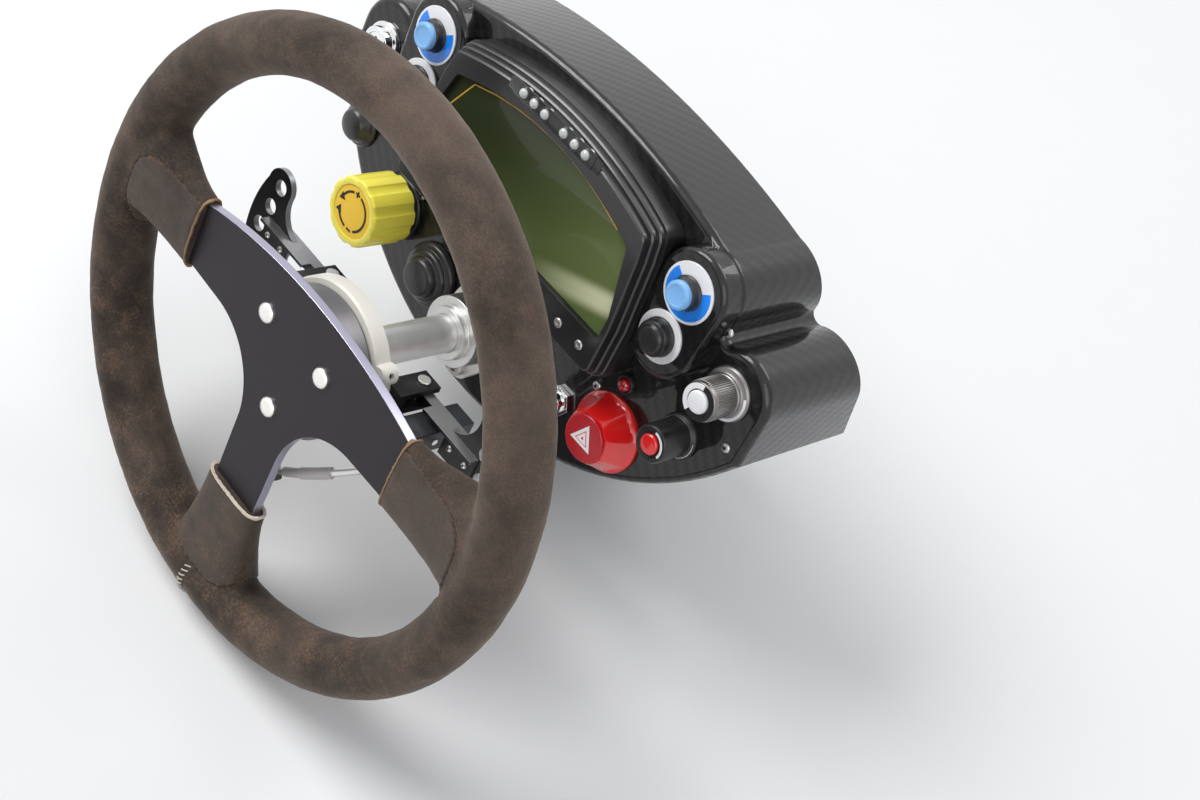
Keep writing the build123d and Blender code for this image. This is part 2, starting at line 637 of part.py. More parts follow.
# Display
def screen_outline():
    """Outline of the glass: wide at the foot, leaning in to an arched top."""
    with BuildSketch() as outline:
        with BuildLine():
            Polyline((-SCREEN_CROWN_X, SCREEN_CROWN_Y), (-SCREEN_W / 2, SCREEN_CORNER_Y),
                     (-SCREEN_W / 2, SCREEN_LOW), (SCREEN_W / 2, SCREEN_LOW),
                     (SCREEN_W / 2, SCREEN_CORNER_Y), (SCREEN_CROWN_X, SCREEN_CROWN_Y))
            ThreePointArc((SCREEN_CROWN_X, SCREEN_CROWN_Y), (0, SCREEN_TOP),
                          (-SCREEN_CROWN_X, SCREEN_CROWN_Y))
        make_face()
        fillet(outline.vertices(), SCREEN_R)
    return outline.sketch


screen_face = screen_outline()
with BuildPart() as display_case:
    with BuildSketch(at(FACE)):
        add(case_face)
    extrude(amount=CASE_EDGE)
    step = FACE + CASE_EDGE
    for inset, rise in CASE_STEPS:
        with BuildSketch(at(step)):
            add(case_face)
            offset(amount=-inset, kind=Kind.ARC, mode=Mode.REPLACE)
        extrude(amount=rise)
        chamfer(faces().sort_by(COLUMN_AXIS)[-1].edges(), 0.8)
        step += rise
    with BuildSketch(at(FACE + CASE_T - SCREEN_SINK)):
        add(screen_face)
    extrude(amount=SCREEN_SINK + 1, mode=Mode.SUBTRACT)
    with BuildSketch(at(FACE + CASE_T)):
        with Locations(*[(side * x, LAMP_Y) for x in LAMP_XS for side in (-1, 1)]):
            Circle(LAMP_R)
    extrude(amount=-LAMP_DEEP, mode=Mode.SUBTRACT)

with BuildPart() as display_screen:
    with BuildSketch(at(FACE + CASE_T - SCREEN_SINK)):
        add(screen_face)
        offset(amount=-SEAT, kind=Kind.ARC, mode=Mode.REPLACE)
    extrude(amount=SCREEN_T)

with BuildPart() as shift_lights:
    for lamp_x in LAMP_XS:
        for side in (-1, 1):
            turn(side * lamp_x, LAMP_Y, FACE + CASE_T - LAMP_DEEP, 0, 0,
                 ((LAMP_R - SEAT, LAMP_R - SEAT, 3.5), (LAMP_R - SEAT, LAMP_R * 0.75, 1.4),
                  (LAMP_R * 0.75, LAMP_R * 0.3, 0.8)))

with BuildPart() as display_buttons:
    for button_x in BUTTON_XS:
        for side in (-1, 1):
            turn(side * button_x, BUTTON_Y, FACE + CASE_T, 0, 0, ((BUTTON_R, BUTTON_R - 0.4, 0.8),))

with BuildPart() as display_connector:
    with BuildSketch(at(FACE)):
        with Locations((0, (SCREEN_LOW + SCREEN_TOP) / 2)):
            RectangleRounded(CONNECTOR_W, CONNECTOR_H, 4)
    extrude(amount=-POD_FACE_T - 8)

# Controls on the pads and the face
with BuildPart() as blue_dials:
    for side in (-1, 1):
        turn(side * DIAL_X, DIAL_Y, PAD, 0, 0, ((DIAL_R, DIAL_R, DIAL_T),))
        turn(side * DIAL_X, DIAL_Y, PAD, 0, 0, ((STEM_R + SEAT, STEM_R + SEAT, DIAL_T),),
             Mode.SUBTRACT)

with BuildPart() as dial_collars:
    for side in (-1, 1):
        turn(side * DIAL_X, DIAL_Y, PAD + DIAL_T, STEM_R, STEM + DIAL_T,
             ((COLLAR_R, COLLAR_R - 0.6, COLLAR_H),))

with BuildPart() as dial_caps:
    for side in (-1, 1):
        turn(side * DIAL_X, DIAL_Y, PAD + DIAL_T + COLLAR_H, 0, 0, ((7, 7, 2), (7, 5.5, 1)))

with BuildPart() as white_dials:
    for side in (-1, 1):
        turn(side * LOWER_DIAL_X, LOWER_DIAL_Y, PAD, 0, 0, ((WHITE_DIAL_R, WHITE_DIAL_R, DIAL_T),))
        turn(side * LOWER_DIAL_X, LOWER_DIAL_Y, PAD, 0, 0,
             ((STEM_R + SEAT, STEM_R + SEAT, DIAL_T),), Mode.SUBTRACT)

with BuildPart() as push_knobs:
    for side in (-1, 1):
        turn(side * LOWER_DIAL_X, LOWER_DIAL_Y, PAD + DIAL_T, STEM_R, STEM + DIAL_T,
             ((9.3, 9.3, 5), (9.3, 8, 1.6), (6.5, 6, 1)))

x, y, seat, hole = SEAT_OF["hazard"]
with BuildPart() as hazard_base:
    turn(x, y, seat, hole, STEM, ((20, 19, 2), (18, 12.5, 13)))
with BuildPart() as hazard_button:
    turn(x, y, seat + 15, 0, 0, ((12, 11.4, 2),))

x, y, seat, hole = SEAT_OF["bias"]
with BuildPart() as bias_base:
    turn(x, y, seat, hole, STEM, ((BIAS_R * 0.9, BIAS_R * 0.88, BIAS_BASE_H),))
with BuildPart() as bias_knob:
    with BuildSketch(at(seat + BIAS_BASE_H)):
        with Locations((x, y)):
            Circle(BIAS_R)
            with PolarLocations(BIAS_R + BIAS_FLUTE_R - BIAS_FLUTE_DEEP, BIAS_FLUTES):
                Circle(BIAS_FLUTE_R, mode=Mode.SUBTRACT)
    extrude(amount=BIAS_L)
    chamfer(faces().sort_by(COLUMN_AXIS)[-1].edges(), BIAS_EDGE)
    turn(x, y, seat + BIAS_BASE_H + BIAS_L - 1, 0, 0, ((BIAS_DISC_R, BIAS_DISC_R, 1),),
         Mode.SUBTRACT)

x, y, seat, hole = SEAT_OF["lamp"]
with BuildPart() as telltale_bezel:
    turn(x, y, seat, hole, STEM, ((5, 4.6, 2.4),))
with BuildPart() as telltale_lamp:
    turn(x, y, seat + 2.4, 0, 0, ((3.4, 2.8, 1.6), (2.8, 1.4, 1)))

x, y, seat, hole = SEAT_OF["rotary"]
with BuildPart() as rotary_barrel:
    turn(x, y, seat, hole, STEM, ((11, 10.4, 3), (9, 9, 18)))
with BuildPart() as rotary_cap:
    turn(x, y, seat + 21, 0, 0, ((5, 4.5, 1.5),))

x, y, seat, hole = SEAT_OF["start"]
with BuildPart() as start_barrel:
    turn(x, y, seat, hole, STEM, ((13, 12, 3), (9.6, 9.6, 18)))
with BuildPart() as start_cap:
    turn(x, y, seat + 21, 0, 0, ((5.2, 4.6, 2),))

x, y, seat, hole = SEAT_OF["lock"]
with BuildPart() as key_lock:
    turn(x, y, seat, hole, STEM, ((11, 10.4, 3), (8.5, 8, 5)))
    with BuildSketch(at(seat + 8)):
        with Locations((x, y)):
            Rectangle(KEY_SLOT_W, KEY_SLOT_L)
    extrude(amount=-KEY_SLOT_DEEP, mode=Mode.SUBTRACT)

x, y, seat, hole = SEAT_OF["small"]
with BuildPart() as small_rubber_button:
    turn(x, y, seat, hole, STEM, ((12, 11, 3), (9.5, 7, 5), (7, 3, 1.5)))

x, y, seat, hole = SEAT_OF["large"]
with BuildPart() as large_rubber_button:
    turn(x, y, seat, hole, STEM, ((17.5, 16.5, 4), (14, 13, 3), (11, 10, 5)))

x, y, seat, hole = SEAT_OF["toggle"]
with BuildPart() as toggle_switch:
    turn(x, y, seat, hole, STEM, ((5.5, 5, 7),))
    with BuildSketch(at(seat)):
        with Locations((x, y)):
            RegularPolygon(8, 6)
    extrude(amount=3)
with BuildPart() as toggle_bat:
    tilt = (UP * 0.6 + COLUMN * 0.8).normalized()
    with BuildSketch(Plane(origin=place(x, y, seat + 6), x_dir=ACROSS, z_dir=tilt)) as foot:
        Circle(2)
    with BuildSketch(Plane(origin=place(x, y, seat + 6) + tilt * BAT_L, x_dir=ACROSS, z_dir=tilt)):
        Circle(3)
    loft()
    add(toggle_switch.part, mode=Mode.SUBTRACT)

# Nuts and switch bodies behind the face
with BuildPart() as panel_nuts:
    for name, x, y, seat, hole in CONTROLS:
        with BuildSketch(at(seat - POD_FACE_T)):
            with Locations((x, y)):
                RegularPolygon(hole + NUT_RIM, 6)
                Circle(hole + SEAT, mode=Mode.SUBTRACT)
        extrude(amount=-NUT_T)

with BuildPart() as switch_bodies:
    for name, x, y, seat, hole in CONTROLS:
        turn(x, y, seat - POD_FACE_T - NUT_T - BODY_L, 0, 0,
             ((hole + NUT_RIM, hole + NUT_RIM, BODY_L),))
        turn(x, y, seat - STEM, 0, 0, ((hole + SEAT, hole + SEAT, STEM),), Mode.SUBTRACT)

PIECES = {
    "rim": rim,
    "spoke_plate": spoke_plate,
    "wheel_bolts": wheel_bolts,
    "hub_spacer": hub_spacer,
    "hub_boss": hub_boss,
    "column_shaft": column_shaft,
    "paddle_carrier": paddle_carrier,
    "paddle_pins": paddle_pins,
    "paddle_left": paddle_left,
    "paddle_right": paddle_right,
    "paddle_switch": paddle_switch,
    "column_bearing": column_bearing,
    "bearing_bolts": bearing_bolts,
    "column_sleeve": column_sleeve,
    "lower_bearing": lower_bearing,
    "bulkhead_plate": bulkhead_plate,
    "pod_shell": pod_shell,
    "pod_stays": pod_stays,
    "display_case": display_case,
    "display_screen": display_screen,
    "shift_lights": shift_lights,
    "display_buttons": display_buttons,
    "display_connector": display_connector,
    "blue_dials": blue_dials,
    "dial_collars": dial_collars,
    "dial_caps": dial_caps,
    "white_dials": white_dials,
    "push_knobs": push_knobs,
    "hazard_base": hazard_base,
    "hazard_button": hazard_button,
    "bias_base": bias_base,
    "bias_knob": bias_knob,
    "telltale_bezel": telltale_bezel,
    "telltale_lamp": telltale_lamp,
    "rotary_barrel": rotary_barrel,
    "rotary_cap": rotary_cap,
    "start_barrel": start_barrel,
    "start_cap": start_cap,
    "key_lock": key_lock,
    "small_rubber_button": small_rubber_button,
    "large_rubber_button": large_rubber_button,
    "toggle_switch": toggle_switch,
    "toggle_bat": toggle_bat,
    "panel_nuts": panel_nuts,
    "switch_bodies": switch_bodies,
}
for label, piece in PIECES.items():
    piece.part.label = label
    export_step(piece.part, f"parts/{label}.step")
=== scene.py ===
"""Looks of a sports car's steering wheel, column and instrument pod, built round the CAD frame."""

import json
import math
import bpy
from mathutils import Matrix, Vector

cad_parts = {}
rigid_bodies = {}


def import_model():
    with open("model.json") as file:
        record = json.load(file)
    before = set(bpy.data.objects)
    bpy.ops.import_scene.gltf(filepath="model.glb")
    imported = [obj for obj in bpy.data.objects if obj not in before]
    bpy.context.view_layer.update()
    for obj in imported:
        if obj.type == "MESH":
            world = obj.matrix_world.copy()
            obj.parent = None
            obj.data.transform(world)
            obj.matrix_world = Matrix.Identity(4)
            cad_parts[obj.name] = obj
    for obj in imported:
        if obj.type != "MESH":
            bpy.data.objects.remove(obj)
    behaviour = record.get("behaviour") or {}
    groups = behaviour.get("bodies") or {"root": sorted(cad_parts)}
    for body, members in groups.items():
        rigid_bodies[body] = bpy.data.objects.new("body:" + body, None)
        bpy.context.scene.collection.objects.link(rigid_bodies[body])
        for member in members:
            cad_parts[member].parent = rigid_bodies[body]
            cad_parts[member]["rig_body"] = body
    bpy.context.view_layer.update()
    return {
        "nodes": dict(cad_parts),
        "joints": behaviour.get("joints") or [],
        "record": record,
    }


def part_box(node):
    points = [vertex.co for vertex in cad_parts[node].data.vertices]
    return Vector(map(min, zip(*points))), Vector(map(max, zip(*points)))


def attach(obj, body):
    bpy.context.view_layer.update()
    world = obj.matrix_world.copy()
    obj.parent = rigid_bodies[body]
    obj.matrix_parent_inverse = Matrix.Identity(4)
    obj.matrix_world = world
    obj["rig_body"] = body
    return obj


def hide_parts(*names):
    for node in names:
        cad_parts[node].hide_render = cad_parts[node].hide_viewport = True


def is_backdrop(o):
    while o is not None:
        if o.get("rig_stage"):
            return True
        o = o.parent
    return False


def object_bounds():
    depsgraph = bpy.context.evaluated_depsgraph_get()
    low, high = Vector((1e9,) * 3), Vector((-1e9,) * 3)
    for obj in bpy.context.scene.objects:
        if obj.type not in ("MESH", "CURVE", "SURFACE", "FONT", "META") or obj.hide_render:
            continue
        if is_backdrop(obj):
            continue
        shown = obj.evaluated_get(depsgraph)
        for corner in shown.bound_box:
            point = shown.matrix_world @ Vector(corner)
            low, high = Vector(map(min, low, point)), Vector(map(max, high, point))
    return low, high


bl_info = {
    "name": "Sports car wheel and instrument pod",
    "version": (1, 0, 0),
    "blender": (4, 5, 0),
    "location": "View3D > Sidebar > Cockpit",
    "description": "Suede wheel, paddles, column and lacquered pod with its display and switches",
    "category": "Add Mesh",
}

from collections import namedtuple

import bmesh
import bpy
from bpy.props import FloatProperty, FloatVectorProperty, IntProperty, PointerProperty
from mathutils import Euler, Matrix, Vector
from mathutils.noise import noise as noise_at

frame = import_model()

# The wheel's own frame, in millimetres: x to the right, y up the wheel, z along the column
# towards the driver, with its origin in the middle of the grip.
MM = 0.001
steering = next(joint for joint in frame["joints"] if joint["name"] == "steering")
ACROSS = Vector((1, 0, 0))
COLUMN = Vector(steering["axis"]).normalized()
WHEEL_AXES = Matrix((ACROSS, COLUMN.cross(ACROSS), COLUMN))
RIM_LOW, RIM_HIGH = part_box("rim")
WHEEL = Matrix.Translation((RIM_LOW + RIM_HIGH) / 2) @ WHEEL_AXES.transposed().to_4x4()
WHEEL = WHEEL @ Matrix.Scale(MM, 4)
TO_WHEEL = WHEEL.inverted()

Spot = namedtuple("Spot", "x y radius foot top")


def merged_node(node_name):
    """A CAD node's mesh as a merged bmesh in the wheel's frame."""
    bm = bmesh.new()
    bm.from_mesh(frame["nodes"][node_name].data)
    bm.transform(TO_WHEEL)
    bmesh.ops.remove_doubles(bm, verts=bm.verts, dist=0.002)
    return bm


def solids(node_name):
    """(lowest, highest) corner of each solid of a CAD node in the wheel's frame, left to right."""
    bm = merged_node(node_name)
    left, boxes = set(bm.verts), []
    while left:
        grown = [left.pop()]
        low, high = grown[0].co.copy(), grown[0].co.copy()
        while grown:
            vert = grown.pop()
            low = Vector(map(min, low, vert.co))
            high = Vector(map(max, high, vert.co))
            near = {e.other_vert(vert) for e in vert.link_edges} & left
            left -= near
            grown.extend(near)
        boxes.append((low, high))
    bm.free()
    return sorted(boxes, key=lambda box: box[0].x)


def spots(node_name):
    """Where each solid of a CAD node stands, with its radius, foot and top, left to right."""
    return [Spot((low.x + high.x) / 2, (low.y + high.y) / 2, (high.x - low.x) / 2, low.z, high.z)
            for low, high in solids(node_name)]


FACE = spots("display_case")[0].foot  # the pod's face
PAD = spots("blue_dials")[0].foot  # the raised pads under the dials


# Shader node groups
def math_node(operation):
    """A method of Value that puts a Math node behind it."""
    def method(self, other=0.0):
        made = node(self.tree, "Math", {"operation": operation}, i0=self, i1=other)
        return Value(self.tree, made.outputs[0])
    return method


class Value:
    """What a socket gives, over a surface; the usual signs put Math nodes behind it."""

    def __init__(self, tree, socket):
        self.tree, self.socket = tree, socket

    __add__ = __radd__ = math_node("ADD")
    __mul__ = __rmul__ = math_node("MULTIPLY")
    __sub__ = math_node("SUBTRACT")
    __mod__ = math_node("FLOORED_MODULO")
    __gt__ = math_node("GREATER_THAN")
    __lt__ = math_node("LESS_THAN")
    __abs__ = math_node("ABSOLUTE")
    floor = math_node("FLOOR")
    fraction = math_node("FRACT")
    or_larger = math_node("MAXIMUM")

    def __rsub__(self, other):
        return self * -1.0 + other


def node(tree, kind, settings=None, **values):
    """A node with its settings, and its inputs set to constants or linked to Values.

    A value's name is its input's, or i and the input's position.
    """
    made = tree.nodes.new("ShaderNode" + kind)
    for key, value in (settings or {}).items():
        setattr(made, key, value)
    for key, value in values.items():
        by_position = key[0] == "i" and key[1:].isdigit()
        socket = made.inputs[int(key[1:]) if by_position else key.replace("_", " ")]
        if isinstance(value, Value):
            tree.links.new(value.socket, socket)
        else:
            socket.default_value = value
    return made


def given(tree, kind, output, settings=None, **values):
    """The Value that a new node gives at one of its outputs."""
    return Value(tree, node(tree, kind, settings, **values).outputs[output])


def mixed(share, first, second):
    """The first colour with a share of the second."""
    return given(share.tree, "Mix", 2, {"data_type": "RGBA", "clamp_factor": True}, i0=share,
                 i6=first, i7=second)


def scaled(colour, level):
    """A colour times a level."""
    return given(level.tree, "VectorMath", 0, {"operation": "SCALE"}, i0=colour, Scale=level)


def parts(vector):
    """The x, y and z of a vector."""
    made = node(vector.tree, "SeparateXYZ", Vector=vector)
    return [Value(vector.tree, socket) for socket in made.outputs]


def noise(vector, scale, detail=3.0, roughness=0.55):
    """The value of a noise texture, with its scale in cycles to the metre."""
    return given(vector.tree, "TexNoise", "Fac", Vector=vector, Scale=scale, Detail=detail,
                 Roughness=roughness)


def ramp(value, low, high):
    """0 below low, 1 above high, smooth between."""
    return given(value.tree, "MapRange", 0, {"interpolation_type": "SMOOTHSTEP"}, Value=value,
                 From_Min=low, From_Max=high)


def group(name, **inputs):
    """A shader node group that puts out a colour, a roughness and a height.

    inputs holds each input's default: a number, a colour, or None for a vector.
    """
    tree = bpy.data.node_groups.new(name, "ShaderNodeTree")
    for key, default in inputs.items():
        kind = {type(None): "Vector", float: "Float", tuple: "Color"}[type(default)]
        made = tree.interface.new_socket(key.replace("_", " "), in_out="INPUT",
                                         socket_type="NodeSocket" + kind)
        if default is not None:
            made.default_value = default
    for key, kind in (("Colour", "Color"), ("Roughness", "Float"), ("Height", "Float")):
        tree.interface.new_socket(key, in_out="OUTPUT", socket_type="NodeSocket" + kind)
    source = tree.nodes.new("NodeGroupInput")
    return tree, {socket.name: Value(tree, socket) for socket in source.outputs}


def put_out(tree, *results):
    """Let a group put out its colour, roughness and height."""
    for result, socket in zip(results, tree.nodes.new("NodeGroupOutput").inputs):
        tree.links.new(result.socket, socket)
    return tree


def finish_group():
    """Handling marks, grain and slight colour change of a hard surface."""
    tree, inputs = group("Handled surface", Vector=None, Colour=(0.5, 0.5, 0.5, 1), Shade=0.1,
                         Roughness=0.4, Spread=0.1, Patch_Scale=60.0, Grain_Scale=2500.0,
                         Dust=0.0)
    patches = noise(inputs["Vector"], inputs["Patch Scale"], 4.0)
    grain = noise(inputs["Vector"], inputs["Grain Scale"], 2.0)
    level = 1.0 + inputs["Shade"] * ((patches - 0.5) + (grain - 0.5) * 0.6)
    up = parts(given(tree, "NewGeometry", "Normal"))[2]
    dust = ramp(up, 0.2, 1.0) * ramp(patches, 0.35, 0.8) * inputs["Dust"]
    colour = mixed(dust, scaled(inputs["Colour"], level), (0.42, 0.4, 0.38, 1))
    rough = inputs["Roughness"] + (patches - 0.5) * inputs["Spread"] + dust * 0.3
    return put_out(tree, colour, rough, grain)


def brushed_group():
    """Fine lines of a brushed or turned metal, drawn out along its third axis."""
    tree, inputs = group("Brushed metal", Vector=None, Colour=(0.6, 0.6, 0.6, 1), Roughness=0.3,
                         Spread=0.12, Line_Scale=900.0, Stretch=0.03)
    drawn = given(tree, "CombineXYZ", 0, X=1.0, Y=1.0, Z=inputs["Stretch"])
    along = given(tree, "VectorMath", 0, {"operation": "MULTIPLY"}, i0=inputs["Vector"], i1=drawn)
    lines = noise(along, inputs["Line Scale"], 3.0, 0.7) - 0.5
    smudges = noise(inputs["Vector"], 45.0, 4.0) - 0.5
    rough = inputs["Roughness"] + (lines + smudges) * inputs["Spread"]
    return put_out(tree, scaled(inputs["Colour"], lines * 0.25 + 1.0), rough, lines)


def suede_group():
    """Brushed nap: broad stroked patches, worn tan fibres, a fine grain and dark seams, with
    painted light that makes the suede lighter towards the top right.
    """
    tree, inputs = group("Suede nap", Vector=None, Dark=(0.05, 0.035, 0.03, 1),
                         Light=(0.2, 0.15, 0.12, 1), Worn=(0.3, 0.2, 0.12, 1), Cuff=0.0,
                         Seam=0.0)
    x, _, z = parts(inputs["Vector"])
    patches = noise(inputs["Vector"], 14.0, 3.0, 0.6)
    strokes = noise(inputs["Vector"], 70.0, 5.0, 0.65)
    fibres = noise(inputs["Vector"], 850.0, 4.0, 0.75)
    specks = noise(inputs["Vector"], 2600.0, 2.0, 0.6)
    # painted light: the suede made lighter towards the top right, where the light falls on it
    painted_light_top_right = ramp(x * 0.8 + z, 0.02, 0.24)  # towards the top right
    nap = patches * 0.75 + strokes * 0.5 + fibres * 0.34 + painted_light_top_right * 0.16
    colour = mixed(ramp(nap, 0.58, 1.12), inputs["Dark"], inputs["Light"])
    low = 1.0 - ramp(z, -0.06, 0.1)
    worn = ramp(strokes, 0.4, 0.72) * ramp(fibres, 0.46, 0.64) * ramp(specks, 0.3, 0.56)
    worn = worn * (low * 0.5 + 0.3)
    colour = mixed(worn, colour, inputs["Worn"])
    smooth = inputs["Cuff"] * (0.75 - worn)
    colour = mixed(smooth * 0.45, colour, (0.05, 0.035, 0.027, 1))
    colour = scaled(colour, (specks - 0.5) * 1.7 + 1.0)
    colour = mixed(inputs["Seam"] * 0.85, colour, (0.01, 0.007, 0.006, 1))
    flecks = inputs["Seam"] * ramp(fibres, 0.5, 0.6)
    colour = mixed(flecks * 0.6, colour, (0.3, 0.13, 0.045, 1))
    return put_out(tree, colour, 0.98 - patches * 0.3 - smooth * 0.36, fibres + specks * 0.5)


def weave_group():
    """A two-by-two twill of flat tows, laid on whichever plane the surface faces."""
    tree, inputs = group("Carbon twill", Vector=None, Normal=None, Tow=500.0)
    x, y, z = parts(inputs["Vector"])
    facing_x, _, facing_z = parts(inputs["Normal"])

    def pick(share, first, second):
        return share * second + (1.0 - share) * first

    u = pick(abs(facing_x) > 0.72, x, y) * inputs["Tow"]
    v = pick(abs(facing_z) > 0.72, z, y) * inputs["Tow"]
    warp = (u.floor() + v.floor()) % 4.0 < 1.5
    across = pick(warp, v.fraction(), u.fraction()) - 0.5
    colour = mixed(warp, (0.0025, 0.0025, 0.003, 1), (0.009, 0.009, 0.01, 1))
    return put_out(tree, colour, pick(warp, 0.42, 0.28), 0.25 - across * across)


def glass_group():
    """A display's glass: dark above, greener low down on the right, with a soft pale band. The
    green towards the lower right is painted light, and the band is a painted reflection.
    """
    tree, inputs = group("Display glass", Vector=None, Dark=(0.03, 0.04, 0.012, 1),
                         Light=(0.13, 0.17, 0.06, 1), Band=(0.66, 0.68, 0.44, 1))
    x, y, _ = parts(inputs["Vector"])
    # painted light: the glass lighter and greener towards the lower right
    colour = mixed(ramp(y * -0.9 + x, -0.13, 0.02), inputs["Dark"], inputs["Light"])
    # a painted reflection: a soft pale band across the glass
    away = abs(x * -0.35 + y - 0.051)
    band = (1.0 - ramp(away, 0.002, 0.009)) * ramp(x, 0.01, 0.07)
    colour = mixed(band * 0.9, colour, inputs["Band"])
    clouds = noise(inputs["Vector"], 30.0)
    return put_out(tree, colour, clouds * 0.2 + 0.12, clouds)


GROUPS = {}


def surface(name, group_name, bump, distance, shader=None, on_wheel=False, **values):
    """A material whose colour, roughness and bump come from a node group.

    shader holds constants of the Principled BSDF, and values the group's inputs: a constant, or
    the name of a mesh attribute. on_wheel lays the pattern in the wheel's frame.
    """
    material = bpy.data.materials.new(name)
    material.use_nodes = True
    tree = material.node_tree
    principled = tree.nodes["Principled BSDF"]
    for socket, value in (shader or {}).items():
        principled.inputs[socket].default_value = value
    for key, value in values.items():
        if isinstance(value, str):
            values[key] = given(tree, "Attribute", "Fac", {"attribute_name": value})
    detail = node(tree, "Group", {"node_tree": GROUPS[group_name]}, **values)
    for key, source, kind in (("Vector", "Object", "POINT"), ("Normal", "Normal", "NORMAL")):
        if key in detail.inputs:
            vector = given(tree, "TexCoord", source)
            if on_wheel:
                vector = given(tree, "Mapping", 0, {"vector_type": kind}, Vector=vector,
                               Rotation=WHEEL_AXES.to_euler())
            tree.links.new(vector.socket, detail.inputs[key])
    colour, rough, height = detail.outputs
    tree.links.new(colour, principled.inputs["Base Color"])
    tree.links.new(rough, principled.inputs["Roughness"])
    if bump:
        bumped = node(tree, "Bump", Strength=bump, Distance=distance, Height=Value(tree, height))
        tree.links.new(bumped.outputs[0], principled.inputs["Normal"])
    return material


def hard(name, colour, rough, shade=0.12, spread=0.12, bump=0.15, dust=0.0, patch=60.0,
         grain=2500.0, **shader):
    """A moulded, painted or anodised surface."""
    shader = {key.replace("_", " "): value for key, value in shader.items()}
    return surface(name, "finish", bump, 0.00002, shader, Colour=(*colour, 1), Shade=shade,
                   Roughness=rough, Spread=spread, Dust=dust, Patch_Scale=patch,
                   Grain_Scale=grain)


def metal(name, colour, rough, spread=0.12, lines=900.0, stretch=0.03, bump=0.12):
    """Bare metal with lines along the column or round a turned part."""
    return surface(name, "brushed", bump, 0.00001, {"Metallic": 1.0}, True,
                   Colour=(*colour, 1), Roughness=rough, Spread=spread, Line_Scale=lines,
                   Stretch=stretch)


MATERIALS = {}


